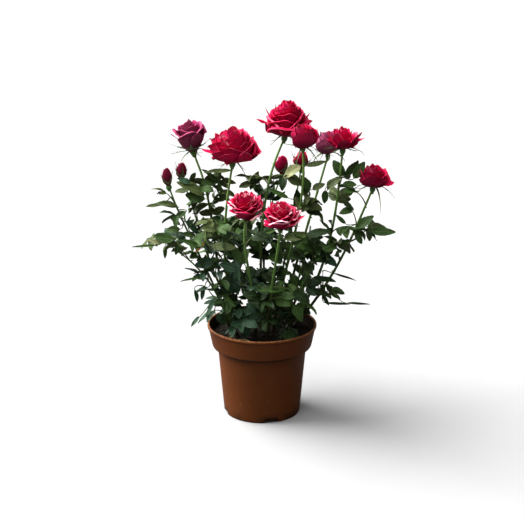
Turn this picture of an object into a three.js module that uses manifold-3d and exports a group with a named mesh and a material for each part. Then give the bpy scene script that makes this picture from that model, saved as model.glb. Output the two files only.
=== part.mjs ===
/**
 * Rose bush growing in its plastic pot.
 *
 * Millimetres, +Z up. The origin is the centre of the pot's flat underside and -Y is the front.
 * The canes rise from the soil, each as one tapering limb that ends under its bloom, bud or shoot.
 * Every mass of leaves is one uneven closed solid that reaches to the cane it grows on, cut
 * round the canes and blooms that pass through it.
 */
import * as THREE from 'three';
import { mergeVertices } from 'three/addons/utils/BufferGeometryUtils.js';
import Module from 'manifold-3d';

const wasm = await Module();
wasm.setup();

// ---------------------------------------------------------------- driving dimensions

const GAP = 0.3; // clearance between neighbouring pieces
const WELD = 1e-4; // vertices nearer than this are one vertex
const PULL = 3; // shift of a curve's inner point for each unit of the bow beside it
const COUNTER = 1.5; // what the bow further off takes from that shift

const POT = {
  height: 102,
  wall: 1.5,
  floor: 2.2,
  baseRadius: 41.8,
  baseFillet: 2.5,
  bodyTopRadius: 48.5,
  bodyTop: 74,
  bandFoot: 78.2,
  bandFootRadius: 54.7,
  rimRadius: 60,
  lip: 0.8,
  segments: 28,
};
const DRAIN = { count: 4, turn: 15, width: 14, height: 3.2, innerEdge: 34, outerEdge: 46 };
const SOIL = { level: 93, crown: 45, edgeDrop: 1.2, segments: 20 };
const CANE = { flare: 0.8, flareHeight: 6, sides: 5, steps: 7, search: 60 };
/** Radius of a cane at its foot and at its head, by what it carries: the last part of its name. */
const GIRTHS = { bud: [1.4, 0.9], shoot: [1.4, 0.7] };
const BLOOM_CANE_GIRTH = [1.65, 1.15];
const MASS = { core: 0.84, lobes: 9, lobeHeight: 0.26, lobeSharpness: 7, outerDetail: 2, innerDetail: 1 };
const BLOOM = { segments: 9, ruffles: 5, ruffleDepth: 0.07 };

const COLOR = {
  pot: 0x6e4028,
  soil: 0x1c1512,
  cane: 0x4f7a33,
  bloom: 0xb3123c,
  bud: 0x8e1436,
  leaf: 0x2f4a26,
};

/**
 * Canes by where they leave the soil and where they end. `bow` is how far each swings sideways
 * from the straight line between the two, a third and two thirds of the way up.
 */
const CANES = {
  top: { foot: [-2, 8], head: [24, 16, 307], bow: [-8, -12] },
  top_right: { foot: [12, -4], head: [43, -24, 306], bow: [3, 7] },
  left: { foot: [-22, -4], head: [-31, -28, 290], bow: [-13, -11] },
  left_rear: { foot: [-30, 8], head: [-74, 40, 283], bow: [-3, 3] },
  right_rear: { foot: [18, 14], head: [72, 50, 278], bow: [0, 0] },
  right: { foot: [26, 0], head: [86, 5, 296], bow: [17, 13] },
  far_right: { foot: [36, 16], head: [118, -5, 256], bow: [9, 7] },
  front_left: { foot: [-8, -26], head: [-17, -60, 239], bow: [3, -2] },
  front_right: { foot: [6, -30], head: [19, -80, 235], bow: [-2, -1] },
  far_left_bud: { foot: [-34, -7], head: [-99, -15, 262], bow: [3, 0] },
  left_bud: { foot: [-18, 20], head: [-87, 30, 258], bow: [-10, -5] },
  rear_left_bud: { foot: [4, 22], head: [22, 50, 258], bow: [-8, -10] },
  rear_right_bud: { foot: [13, 32], head: [43, 55, 263], bow: [0, 0] },
  low_left_shoot: { foot: [-26, -18], head: [-95, -30, 198], bow: [7, 12] },
  low_right_shoot: { foot: [30, -14], head: [62, -20, 195], bow: [-7, -4] },
  rear_left_shoot: { foot: [-8, 32], head: [-40, 70, 190], bow: [0, 0] },
  rear_right_shoot: { foot: [26, 27], head: [55, 70, 180], bow: [0, 0] },
};

/** Open blooms: the cane that carries each, its half width, its height and which way it leans. */
const BLOOMS = {
  top: { radius: 26, height: 37, lean: [0.16, -0.1] },
  top_right: { radius: 14.5, height: 22, lean: [0, -0.1] },
  left: { radius: 30, height: 34, lean: [0.02, -0.12] },
  left_rear: { radius: 18, height: 36, lean: [-0.2, 0] },
  right_rear: { radius: 15, height: 23, lean: [-0.12, 0] },
  right: { radius: 23, height: 20, lean: [0.04, -0.06] },
  far_right: { radius: 21, height: 21, lean: [0.08, -0.1] },
  front_left: { radius: 19, height: 26, lean: [0.02, -0.2] },
  front_right: { radius: 20, height: 25, lean: [0.08, -0.2] },
};

/** Closed buds, measured the same way. */
const BUDS = {
  far_left_bud: { radius: 6.8, height: 20, lean: [-0.3, 0] },
  left_bud: { radius: 6.6, height: 17, lean: [-0.1, 0] },
  rear_left_bud: { radius: 7, height: 19, lean: [-0.1, 0] },
  rear_right_bud: { radius: 8, height: 17, lean: [0, 0] },
};

/** Outlines of an open bloom and of a bud: share of the radius at each share of the height. */
const BLOOM_OUTLINE = [[0, 0], [0.2, 0], [0.56, 0.14], [0.96, 0.44], [0.94, 0.74], [0.5, 1], [0, 0.97]];
const BUD_OUTLINE = [[0, 0], [0.6, 0.04], [1, 0.34], [0.72, 0.72], [0.2, 1], [0, 1]];

/**
 * Leaf masses: the cane each grows on, its middle, its half sizes, and its longest leaf tips
 * measured from its middle.
 */
const LEAVES = {
  upper_left: { cane: 'left_bud', middle: [-70, 15, 245], half: [21, 16, 20], tips: [[-5, 5, 25]] },
  upper_left_fan: { cane: 'left_rear', middle: [-48, 25, 260], half: [20, 16, 16], tips: [[15, 0, 15]] },
  left_wing: {
    cane: 'far_left_bud', middle: [-96, -15, 242], half: [21, 13, 12], tips: [[-24, 0, 0], [-20, 0, 22]],
  },
  left: { cane: 'far_left_bud', middle: [-82, -15, 215], half: [26, 18, 15], tips: [[-28, 0, 0]] },
  far_left: { cane: 'low_left_shoot', middle: [-102, -25, 200], half: [24, 14, 12], tips: [[-40, 0, 2]] },
  left_front: { cane: 'left', middle: [-50, -38, 210], half: [26, 18, 18], tips: [] },
  left_low: { cane: 'low_left_shoot', middle: [-62, -25, 178], half: [22, 16, 15], tips: [[-22, 0, -12]] },
  left_droop: { cane: 'far_left_bud', middle: [-62, -25, 138], half: [18, 18, 20], tips: [[-16, -5, -30]] },
  centre_left: { cane: 'left', middle: [-25, 0, 205], half: [24, 20, 20], tips: [] },
  upper_centre: { cane: 'top', middle: [-10, 25, 255], half: [22, 17, 15], tips: [[-20, 0, 10]] },
  centre: { cane: 'top', middle: [5, 15, 200], half: [26, 20, 18], tips: [] },
  centre_low_left: { cane: 'left', middle: [-30, -8, 166], half: [27, 22, 18], tips: [] },
  centre_low_right: { cane: 'top_right', middle: [26, -5, 160], half: [26, 22, 18], tips: [] },
  tall_right: { cane: 'top_right', middle: [42, -5, 250], half: [18, 16, 24], tips: [] },
  under_bloom: { cane: 'top_right', middle: [33, -18, 203], half: [25, 18, 16], tips: [] },
  right_centre: { cane: 'low_right_shoot', middle: [57, -22, 204], half: [24, 18, 18], tips: [] },
  upper_right: { cane: 'right', middle: [80, 5, 254], half: [20, 18, 18], tips: [[25, 5, 27]] },
  right_node: { cane: 'far_right', middle: [90, -5, 208], half: [18, 16, 15], tips: [] },
  far_right: {
    cane: 'far_right', middle: [120, -12, 211], half: [20, 14, 13], tips: [[26, 0, -7], [5, 0, 16]],
  },
  right_leaf: { cane: 'right', middle: [74, -10, 172], half: [17, 17, 18], tips: [] },
  right_skirt: { cane: 'right', middle: [66, 0, 148], half: [23, 18, 14], tips: [[48, 0, -20]] },
  skirt_right: { cane: 'low_right_shoot', middle: [42, -15, 135], half: [24, 18, 17], tips: [] },
  skirt_front_left: { cane: 'front_left', middle: [-22, -42, 146], half: [26, 20, 22], tips: [[-14, -5, -34]] },
  skirt_front_right: { cane: 'front_right', middle: [18, -46, 146], half: [25, 20, 22], tips: [[10, -8, -32]] },
  rear_left: { cane: 'rear_left_shoot', middle: [-42, 70, 186], half: [30, 22, 27], tips: [] },
  rear_right: { cane: 'rear_right_shoot', middle: [54, 70, 176], half: [29, 22, 27], tips: [] },
  rear_centre: { cane: 'rear_left_bud', middle: [6, 68, 200], half: [26, 22, 25], tips: [] },
  rear_low: { cane: 'rear_left_shoot', middle: [-2, 58, 132], half: [42, 22, 18], tips: [] },
};

// ---------------------------------------------------------------- helpers

/** Repeatable random numbers from 0 to 1. */
function randomSource(seed) {
  let state = seed >>> 0;
  return () => {
    state = (Math.imul(state, 1664525) + 1013904223) >>> 0;
    return state / 2 ** 32;
  };
}

/** A direction drawn evenly from the whole sphere. */
function randomDirection(random) {
  const up = random() * 2 - 1;
  const angle = random() * 2 * Math.PI;
  const across = Math.sqrt(1 - up * up);
  return new THREE.Vector3(across * Math.cos(angle), across * Math.sin(angle), up);
}

/** A number that stands for a name, so each piece has its own random draws. */
function seedOf(name) {
  return [...name].reduce((sum, letter) => Math.imul(sum, 31) + letter.charCodeAt(0), 7);
}

/** Positions only, shared vertices merged and collapsed triangles dropped. */
function weld(geometry) {
  const bare = geometry.clone();
  bare.deleteAttribute('normal');
  bare.deleteAttribute('uv');
  const merged = mergeVertices(bare, WELD);
  const corners = [];
  for (let i = 0; i < merged.index.count; i += 3) {
    const [a, b, c] = [0, 1, 2].map((k) => merged.index.getX(i + k));
    if (a !== b && b !== c && c !== a) corners.push(a, b, c);
  }
  merged.setIndex(corners);
  return merged;
}

/** The solid that a closed geometry bounds. */
function toSolid(geometry) {
  const closed = weld(geometry);
  return new wasm.Manifold(new wasm.Mesh({
    numProp: 3,
    vertProperties: new Float32Array(closed.attributes.position.array),
    triVerts: new Uint32Array(closed.index.array),
  }));
}

/** The geometry of a solid's largest body. */
function toGeometry(solid) {
  const [largest] = solid.decompose().sort((a, b) => b.volume() - a.volume());
  const { vertProperties, triVerts } = largest.getMesh();
  const geometry = new THREE.BufferGeometry();
  geometry.setAttribute('position', new THREE.BufferAttribute(vertProperties, 3));
  geometry.setIndex(new THREE.BufferAttribute(triVerts, 1));
  geometry.computeVertexNormals();
  return geometry;
}

/** A closed round solid about Z from [radius, height] pairs, bottom to top. */
function turned(profile, segments) {
  const points = profile.map(([radius, height]) => new THREE.Vector2(radius, height));
  return new THREE.LatheGeometry(points, segments).rotateX(Math.PI / 2);
}

const mix = THREE.MathUtils.lerp;

// ---------------------------------------------------------------- pot and soil

/** Inner radius of the pot's wall at a height. */
function innerRadius(z) {
  const { wall, baseRadius, bodyTopRadius, bodyTop, bandFoot, bandFootRadius, rimRadius, height } = POT;
  if (z <= bodyTop) return mix(baseRadius, bodyTopRadius, z / bodyTop) - wall;
  if (z < bandFoot) return mix(bodyTopRadius, bandFootRadius, (z - bodyTop) / (bandFoot - bodyTop)) - wall;
  return mix(bandFootRadius, rimRadius, (z - bandFoot) / (height - bandFoot)) - wall;
}

/** Thin tapering pot with a deep rim band, a rounded ledge under it and a hollow inside. */
function potSolid() {
  const { height, floor, baseRadius, baseFillet, bodyTopRadius, bodyTop, bandFoot, bandFootRadius } = POT;
  const { rimRadius, lip, segments } = POT;
  const ledge = bandFootRadius - bodyTopRadius;
  const ledgeRise = bandFoot - bodyTop;
  const outer = [
    [0, 0],
    [baseRadius - baseFillet, 0],
    [baseRadius - baseFillet * 0.3, baseFillet * 0.3],
    [baseRadius, baseFillet],
    [bodyTopRadius, bodyTop],
    [bodyTopRadius + ledge * 0.28, bodyTop + ledgeRise * 0.42],
    [bodyTopRadius + ledge * 0.8, bodyTop + ledgeRise * 0.62],
    [bandFootRadius, bandFoot],
    [rimRadius, height - lip],
    [rimRadius - lip * 0.4, height],
  ];
  const inner = [
    [innerRadius(height) + lip * 0.4, height],
    [innerRadius(height - lip), height - lip],
    [innerRadius(bandFoot), bandFoot + POT.wall],
    [innerRadius(bodyTop), bodyTop + POT.wall],
    [innerRadius(floor), floor],
    [0, floor],
  ];
  return toSolid(turned([...outer, ...inner], segments));
}

/** Blocks that cut the drain notches where the pot's wall meets its floor. */
function drainBlocks() {
  const { count, turn, width, height, innerEdge, outerEdge } = DRAIN;
  return Array.from({ length: count }, (_, i) => {
    const block = new THREE.BoxGeometry(outerEdge - innerEdge, width, height * 2);
    block.translate((innerEdge + outerEdge) / 2, 0, 0);
    return toSolid(block.rotateZ(THREE.MathUtils.degToRad((i * 360) / count + turn)));
  });
}

/** Soil that fills the pot, flat where the canes stand and a little lower at the wall. */
function soilSolid() {
  const { floor, wall, bodyTop, bandFoot } = POT;
  const { level, crown, edgeDrop, segments } = SOIL;
  const facetShare = Math.cos(Math.PI / POT.segments); // the wall's flats lie this much further in
  const bottom = floor + GAP;
  const radius = (z) => (innerRadius(z) - 2 * GAP) * facetShare;
  return toSolid(turned([
    [0, bottom],
    [radius(bottom), bottom],
    [radius(bodyTop), bodyTop + wall + GAP],
    [radius(bandFoot) - GAP, bandFoot + wall + GAP],
    [radius(level - edgeDrop), level - edgeDrop],
    [crown, level],
    [0, level],
  ], segments));
}

// ---------------------------------------------------------------- canes

/**
 * Centre line of a cane between its foot in the soil and its head, and its girth. A third of the
 * way along, a cubic curve takes 4/9 of the nearer inner point's shift and 2/9 of the other's, so
 * PULL and COUNTER give the shifts that make it pass exactly its bows away from the straight line.
 */
function caneCurve(name, { foot, head, bow: [lower, upper] }) {
  const start = new THREE.Vector3(foot[0], foot[1], SOIL.level + GAP);
  const end = new THREE.Vector3(...head);
  const pulled = (share, near, far) => {
    const point = start.clone().lerp(end, share);
    point.x += PULL * near - COUNTER * far;
    return point;
  };
  const curve = new THREE.CubicBezierCurve3(
    start,
    pulled(1 / 3, lower, upper),
    pulled(2 / 3, upper, lower),
    end,
  );
  curve.girth = GIRTHS[name.split('_').pop()] ?? BLOOM_CANE_GIRTH;
  return curve;
}

/** A cane's radius at a share of its length, flared where it leaves the soil. */
function caneRadius([footRadius, headRadius], share, length) {
  return mix(footRadius, headRadius, share) + CANE.flare * Math.exp((-share * length) / CANE.flareHeight);
}

/** Tapering limb round a curve, cut flat at the soil. `grow` thickens it all over. */
function caneSolid(curve, grow = 0) {
  const { sides, steps } = CANE;
  const length = curve.getLength();
  const frames = curve.computeFrenetFrames(steps);
  const limb = new THREE.CylinderGeometry(1, 1, 1, sides, steps);
  const { position } = limb.attributes;
  const local = new THREE.Vector3();
  for (let i = 0; i < position.count; i += 1) {
    local.fromBufferAttribute(position, i);
    const ring = Math.round((local.y + 0.5) * steps);
    const radius = caneRadius(curve.girth, ring / steps, length) + grow;
    const place = curve.getPointAt(ring / steps);
    place.addScaledVector(frames.normals[ring], local.x * radius);
    place.addScaledVector(frames.binormals[ring], -local.z * radius);
    if (ring === 0) place.z = SOIL.level + GAP - grow;
    if (ring === steps) place.addScaledVector(frames.tangents[ring], grow);
    position.setXYZ(i, ...place);
  }
  return toSolid(limb);
}

// ---------------------------------------------------------------- blooms and buds

/** Ruffled turned body that stands on the head of its cane and leans its own way. */
function flowerSolid(curve, outline, { radius, height, lean }, seed, grow = 0) {
  const profile = outline.map(([across, up]) => [
    across ? across * radius + grow : 0,
    up * height + grow * Math.sign(up - 0.5),
  ]);
  const body = turned(profile, BLOOM.segments);
  const { position } = body.attributes;
  const phase = randomSource(seed)() * Math.PI;
  for (let i = 0; i < position.count; i += 1) {
    const angle = Math.atan2(position.getY(i), position.getX(i));
    const ruffle = 1 + BLOOM.ruffleDepth * Math.sin(angle * BLOOM.ruffles + phase);
    position.setXY(i, position.getX(i) * ruffle, position.getY(i) * ruffle);
  }
  const facing = new THREE.Vector3(lean[0], lean[1], 1).normalize();
  body.applyQuaternion(new THREE.Quaternion().setFromUnitVectors(new THREE.Vector3(0, 0, 1), facing));
  const turn = curve.getTangent(1).cross(facing).length();
  const seat = curve.getPoint(1).addScaledVector(facing, GAP + curve.girth[1] * turn);
  return toSolid(body.translate(...seat));
}

// ---------------------------------------------------------------- leaf masses

/** The point of a curve that lies nearest a place. */
function nearestOn(curve, place) {
  const points = curve.getPoints(CANE.search);
  return points.reduce((best, point) => (point.distanceTo(place) < best.distanceTo(place) ? point : best));
}

/** Uneven leafy body: a lobed ball stretched to its half sizes and drawn out to its leaf tips. */
function leafSolid(curve, spec, seed, grow = 0) {
  const { half, tips } = spec;
  const random = randomSource(seed);
  const lobes = Array.from({ length: MASS.lobes }, () => randomDirection(random));
  const middle = new THREE.Vector3(...spec.middle);
  const size = new THREE.Vector3(...half);
  const ball = weld(new THREE.IcosahedronGeometry(1, tips.length ? MASS.outerDetail : MASS.innerDetail));
  const { position } = ball.attributes;
  const direction = new THREE.Vector3();
  for (let i = 0; i < position.count; i += 1) {
    direction.fromBufferAttribute(position, i);
    const swell = lobes.reduce(
      (sum, lobe) => sum + Math.max(0, direction.dot(lobe)) ** MASS.lobeSharpness,
      0,
    );
    direction.multiplyScalar(MASS.core + MASS.lobeHeight * swell).multiply(size);
    direction.setLength(direction.length() + grow);
    position.setXYZ(i, ...direction);
  }
  const stem = nearestOn(curve, middle).sub(middle);
  for (const tip of [...tips.map((offset) => new THREE.Vector3(...offset)), stem]) {
    drawOut(position, tip, grow);
  }
  return toSolid(ball.translate(...middle));
}

/** Moves the vertex that points most nearly at a tip out to that tip, if the tip lies further out. */
function drawOut(position, tip, grow) {
  const along = tip.clone().normalize();
  const vertex = new THREE.Vector3();
  let nearest = 0;
  let best = -1;
  for (let i = 0; i < position.count; i += 1) {
    const match = vertex.fromBufferAttribute(position, i).normalize().dot(along);
    if (match > best) [nearest, best] = [i, match];
  }
  vertex.fromBufferAttribute(position, nearest);
  if (tip.length() > vertex.length()) position.setXYZ(nearest, ...along.multiplyScalar(tip.length() + grow));
}

// ---------------------------------------------------------------- assembly

/** A named mesh of one solid with its own plain material. */
function piece(name, solid, color, roughness) {
  const material = new THREE.MeshStandardMaterial({ color, roughness, metalness: 0 });
  const mesh = new THREE.Mesh(toGeometry(solid), material);
  mesh.name = name;
  return mesh;
}

/** Everything that the leaf masses are cut round, thickened by the gap. */
function woodAndFlowers(curves) {
  const canes = Object.values(curves).map((curve) => caneSolid(curve, GAP));
  const blooms = flowers(curves, BLOOMS, BLOOM_OUTLINE, GAP).map(([, solid]) => solid);
  const buds = flowers(curves, BUDS, BUD_OUTLINE, GAP).map(([, solid]) => solid);
  return wasm.Manifold.union([...canes, ...blooms, ...buds]);
}

/** [cane name, solid] of each flower in a table. */
function flowers(curves, table, outline, grow = 0) {
  return Object.entries(table).map(([cane, spec]) => (
    [cane, flowerSolid(curves[cane], outline, spec, seedOf(cane), grow)]
  ));
}

/** [name, solid] of each leaf mass, cut clear of the canes, flowers and earlier masses. */
function leafMasses(curves) {
  let taken = woodAndFlowers(curves);
  return Object.entries(LEAVES).map(([name, spec]) => {
    const curve = curves[spec.cane];
    const solid = leafSolid(curve, spec, seedOf(name)).subtract(taken);
    taken = taken.add(leafSolid(curve, spec, seedOf(name), GAP));
    return [name, solid];
  });
}

function buildPlant() {
  const plant = new THREE.Group();
  const curves = Object.fromEntries(
    Object.entries(CANES).map(([name, spec]) => [name, caneCurve(name, spec)]),
  );
  const pot = drainBlocks().reduce((solid, block) => solid.subtract(block), potSolid());
  plant.add(piece('pot', pot, COLOR.pot, 0.6));
  plant.add(piece('soil', soilSolid(), COLOR.soil, 0.95));
  for (const [name, curve] of Object.entries(curves)) {
    plant.add(piece(`cane_${name}`, caneSolid(curve), COLOR.cane, 0.55));
  }
  for (const [name, solid] of flowers(curves, BLOOMS, BLOOM_OUTLINE)) {
    plant.add(piece(`bloom_${name}`, solid, COLOR.bloom, 0.6));
  }
  for (const [name, solid] of flowers(curves, BUDS, BUD_OUTLINE)) {
    plant.add(piece(name, solid, COLOR.bud, 0.6));
  }
  for (const [name, solid] of leafMasses(curves)) {
    plant.add(piece(`leaves_${name}`, solid, COLOR.leaf, 0.6));
  }
  return plant;
}

export default buildPlant();
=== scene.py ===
"""A miniature rose bush in its pot, dressed petal by petal and leaf by leaf round a fixed frame."""

import logging
import math
from collections.abc import Callable, Sequence
from dataclasses import dataclass, field, replace
from enum import Enum

import bpy
import numpy as np
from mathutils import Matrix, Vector
from mathutils.bvhtree import BVHTree


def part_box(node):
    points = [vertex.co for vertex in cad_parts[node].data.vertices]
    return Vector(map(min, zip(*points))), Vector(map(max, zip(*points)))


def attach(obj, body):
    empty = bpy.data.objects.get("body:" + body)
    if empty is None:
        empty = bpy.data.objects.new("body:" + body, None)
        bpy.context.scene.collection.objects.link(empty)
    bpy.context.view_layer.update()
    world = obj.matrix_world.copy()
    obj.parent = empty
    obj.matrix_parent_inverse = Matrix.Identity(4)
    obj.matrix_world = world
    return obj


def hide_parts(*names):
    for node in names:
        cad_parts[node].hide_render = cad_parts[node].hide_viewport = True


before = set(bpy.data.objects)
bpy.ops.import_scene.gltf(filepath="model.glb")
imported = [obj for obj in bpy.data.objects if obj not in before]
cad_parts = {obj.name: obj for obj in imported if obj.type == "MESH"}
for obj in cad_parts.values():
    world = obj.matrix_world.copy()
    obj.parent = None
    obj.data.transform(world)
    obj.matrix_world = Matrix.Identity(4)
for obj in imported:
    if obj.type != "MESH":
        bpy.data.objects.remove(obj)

LOG = logging.getLogger("rose_bush")
UV_NAME = "OFBake"
BODY = "root"
UP = np.array([0.0, 0.0, 1.0])
MM = 0.001


# ---------------------------------------------------------------- small sums


def unit(v: np.ndarray) -> np.ndarray:
    """A vector of length one along v."""
    return v / max(float(np.linalg.norm(v)), 1e-12)


def mix(a: float, b: float, share: float) -> float:
    """The value that lies a share of the way from a to b."""
    return a + (b - a) * share


def smoothstep(low: float, high: float, x: np.ndarray) -> np.ndarray:
    """A soft ramp from 0 at low to 1 at high."""
    t = np.clip((x - low) / (high - low), 0, 1)
    return t * t * (3 - 2 * t)


def bezier(corners: Sequence[np.ndarray], count: int) -> np.ndarray:
    """Points along a Bezier curve.

    Args:
        corners: Its control points, in order.
        count: How many points to return.

    Returns:
        The points, one to a row.
    """
    t = np.linspace(0, 1, count)[:, None]
    rows = [np.asarray(c, float)[None, :] for c in corners]
    while len(rows) > 1:
        rows = [a * (1 - t) + b * t for a, b in zip(rows, rows[1:])]
    return rows[0]


def square_to(direction: np.ndarray, hint: np.ndarray) -> np.ndarray:
    """The unit vector nearest to hint that is square to direction."""
    flat = hint - direction * float(hint @ direction)
    if np.linalg.norm(flat) < 1e-6:
        flat = np.cross(direction, [0.3, 0.5, 0.8])
    return unit(flat)


def spoke(turn: float) -> tuple[np.ndarray, np.ndarray]:
    """The unit vector out from the upright axis at an angle, and the one a quarter turn on."""
    x, y = math.cos(turn), math.sin(turn)
    return np.array([x, y, 0.0]), np.array([-y, x, 0.0])


def node_points(name: str) -> np.ndarray:
    """The separate points of a frame node, one to a row, in metres."""
    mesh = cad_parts[name].data
    points = np.zeros(len(mesh.vertices) * 3, np.float32)
    mesh.vertices.foreach_get("co", points)
    return np.unique(np.round(points.reshape(-1, 3), 6), axis=0).astype(float)


def node_names(prefix: str) -> list[str]:
    """The frame's node names that start with prefix, in order."""
    return sorted(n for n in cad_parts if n.startswith(prefix))


# ---------------------------------------------------------------- mesh making


@dataclass(frozen=True)
class UvCell:
    """A rectangle of the pattern sheet that one side of a shell is laid over."""

    left: float
    bottom: float
    width: float
    height: float

    def place(self, across: np.ndarray, along: np.ndarray) -> np.ndarray:
        """Sheet coordinates of points given across and along the shell, each 0 to 1."""
        return np.stack([self.left + self.width * across, self.bottom + self.height * along], -1)


SHEET_COLUMNS = 4
CELL_INSET = 0.01
WHOLE_SHEET = UvCell(0.0, 0.0, 1.0, 1.0)


def sheet_cells(variant: int) -> tuple[UvCell, UvCell]:
    """The pair of cells, face above and back below, that one variant of petal or leaflet uses."""
    width = 1 / SHEET_COLUMNS
    left = (variant % SHEET_COLUMNS) * width + CELL_INSET * width
    size = (width * (1 - 2 * CELL_INSET), 0.5 - CELL_INSET)
    return (
        UvCell(left, 0.5 + CELL_INSET / 2, *size),
        UvCell(left, CELL_INSET / 2, *size),
    )


class MeshBuffer:
    """Gathers the points and faces of many small shells and tubes into one object."""

    def __init__(self) -> None:
        """Starts empty."""
        self.points: list[np.ndarray] = []
        self.corners: list[np.ndarray] = []
        self.sizes: list[np.ndarray] = []
        self.slots: list[np.ndarray] = []
        self.uvs: list[np.ndarray] = []
        self.count = 0

    def add_points(self, points: np.ndarray) -> int:
        """Adds points and returns the number of the first of them."""
        first = self.count
        self.points.append(points.reshape(-1, 3))
        self.count += len(self.points[-1])
        return first

    def add_faces(self, faces: np.ndarray, uvs: np.ndarray, slot: int = 0) -> None:
        """Adds faces that all have the same number of corners.

        Args:
            faces: Point numbers, one face to a row.
            uvs: Sheet coordinates, one pair to a corner.
            slot: The material slot.
        """
        self.corners.append(faces.ravel())
        self.sizes.append(np.full(len(faces), faces.shape[1]))
        self.slots.append(np.full(len(faces), slot))
        self.uvs.append(uvs.reshape(-1, 2))

    def add_grid(self, numbers: np.ndarray, cell: UvCell, slot: int, flip: bool = False) -> None:
        """Adds the quads between a grid of point numbers.

        Args:
            numbers: Point numbers, a row for each step along and a column for each step across.
            cell: The part of the sheet the grid covers.
            slot: The material slot.
            flip: Whether the faces look the other way.
        """
        rows, columns = numbers.shape
        along, across = np.meshgrid(
            np.linspace(0, 1, rows), np.linspace(0, 1, columns), indexing="ij"
        )
        sheet = cell.place(across, along)
        order = [(0, 0), (0, 1), (1, 1), (1, 0)]
        order = order[::-1] if flip else order
        last_i, last_j = rows - 1, columns - 1
        faces = np.stack([numbers[i : last_i + i, j : last_j + j] for i, j in order], -1)
        uvs = np.stack([sheet[i : last_i + i, j : last_j + j] for i, j in order], -2)
        self.add_faces(faces.reshape(-1, 4), uvs.reshape(-1, 2), slot)

    def add_shell(
        self, grid: np.ndarray, thickness: float, variant: int = 0, slots: tuple[int, int] = (0, 1)
    ) -> None:
        """Adds a thin closed shell over a grid of points; its two sides share their border.

        Args:
            grid: Points of the face, by step along, step across and axis.
            thickness: How far the back lies below the face.
            variant: Which pair of sheet cells it is laid over.
            slots: The material slots of the face and the back.
        """
        rows, columns = grid.shape[:2]
        slope_along = np.gradient(grid, axis=0)
        slope_across = np.gradient(grid, axis=1)
        normal = np.cross(slope_across, slope_along)
        normal /= np.maximum(np.linalg.norm(normal, axis=-1, keepdims=True), 1e-12)
        back = (grid - normal * thickness)[1:-1, 1:-1]
        first = self.add_points(np.concatenate([grid.reshape(-1, 3), back.reshape(-1, 3)]))
        face_numbers = first + np.arange(rows * columns).reshape(rows, columns)
        back_numbers = face_numbers.copy()
        inner = first + rows * columns + np.arange((rows - 2) * (columns - 2))
        back_numbers[1:-1, 1:-1] = inner.reshape(rows - 2, columns - 2)
        face_cell, back_cell = sheet_cells(variant)
        self.add_grid(face_numbers, face_cell, slots[0])
        self.add_grid(back_numbers, back_cell, slots[1], flip=True)

    def add_rings(self, rings: np.ndarray, ends: np.ndarray) -> None:
        """Adds a skin over a stack of rings, closed with a fan at each end.

        Args:
            rings: Points by ring, step round and axis.
            ends: The middle of the first ring's fan and of the last's.
        """
        count, sides = rings.shape[:2]
        numbers = self.add_points(rings) + np.arange(count * sides).reshape(count, sides)
        self.add_grid(np.concatenate([numbers, numbers[:, :1]], 1), WHOLE_SHEET, 0)
        first = self.add_points(ends)
        for ring, centre in ((numbers[0][::-1], first), (numbers[-1], first + 1)):
            fan = np.stack([ring, np.roll(ring, -1), np.full(sides, centre)], -1)
            self.add_faces(fan, np.full((sides, 3, 2), 0.5))

    def add_tube(
        self,
        path: np.ndarray,
        radii: np.ndarray,
        sides: int = 8,
        slot: int = 0,
        cell: UvCell = WHOLE_SHEET,
    ) -> None:
        """Adds a closed tube along a path.

        Args:
            path: Its centre line.
            radii: Its radius at each point, or at each point and side.
            sides: How many sides it has.
            slot: The material slot.
            cell: The part of the sheet it is wrapped in.
        """
        tangents = np.gradient(path, axis=0)
        tangents /= np.maximum(np.linalg.norm(tangents, axis=1, keepdims=True), 1e-12)
        side = square_to(tangents[0], np.array([1.0, 0.2, 0.1]))
        frames = []
        for tangent in tangents:
            side = square_to(tangent, side)
            frames.append((side, np.cross(tangent, side)))
        turn = np.linspace(0, 2 * math.pi, sides, endpoint=False)
        radii = np.broadcast_to(np.asarray(radii, float).reshape(len(path), -1), (len(path), sides))
        rings = np.stack(
            [
                p + r[:, None] * (np.cos(turn)[:, None] * a + np.sin(turn)[:, None] * b)
                for p, r, (a, b) in zip(path, radii, frames)
            ]
        )
        first = self.add_points(rings)
        numbers = first + np.arange(len(path) * sides).reshape(len(path), sides)
        self.add_grid(np.concatenate([numbers, numbers[:, :1]], 1), cell, slot)
        foot_end = path[0] - tangents[0] * radii[0, 0] * 0.3
        head_end = path[-1] + tangents[-1] * radii[-1, 0] * 0.5
        ends = self.add_points(np.stack([foot_end, head_end]))
        for ring, centre, along in ((numbers[0][::-1], ends, 0.0), (numbers[-1], ends + 1, 1.0)):
            fan = np.stack([ring, np.roll(ring, -1), np.full(sides, centre)], -1)
            step = np.arange(sides) / sides
            across = np.stack([step, step + 1 / sides, step + 0.5 / sides], -1)
            self.add_faces(fan, cell.place(across, np.full_like(across, along)), slot)

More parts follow.
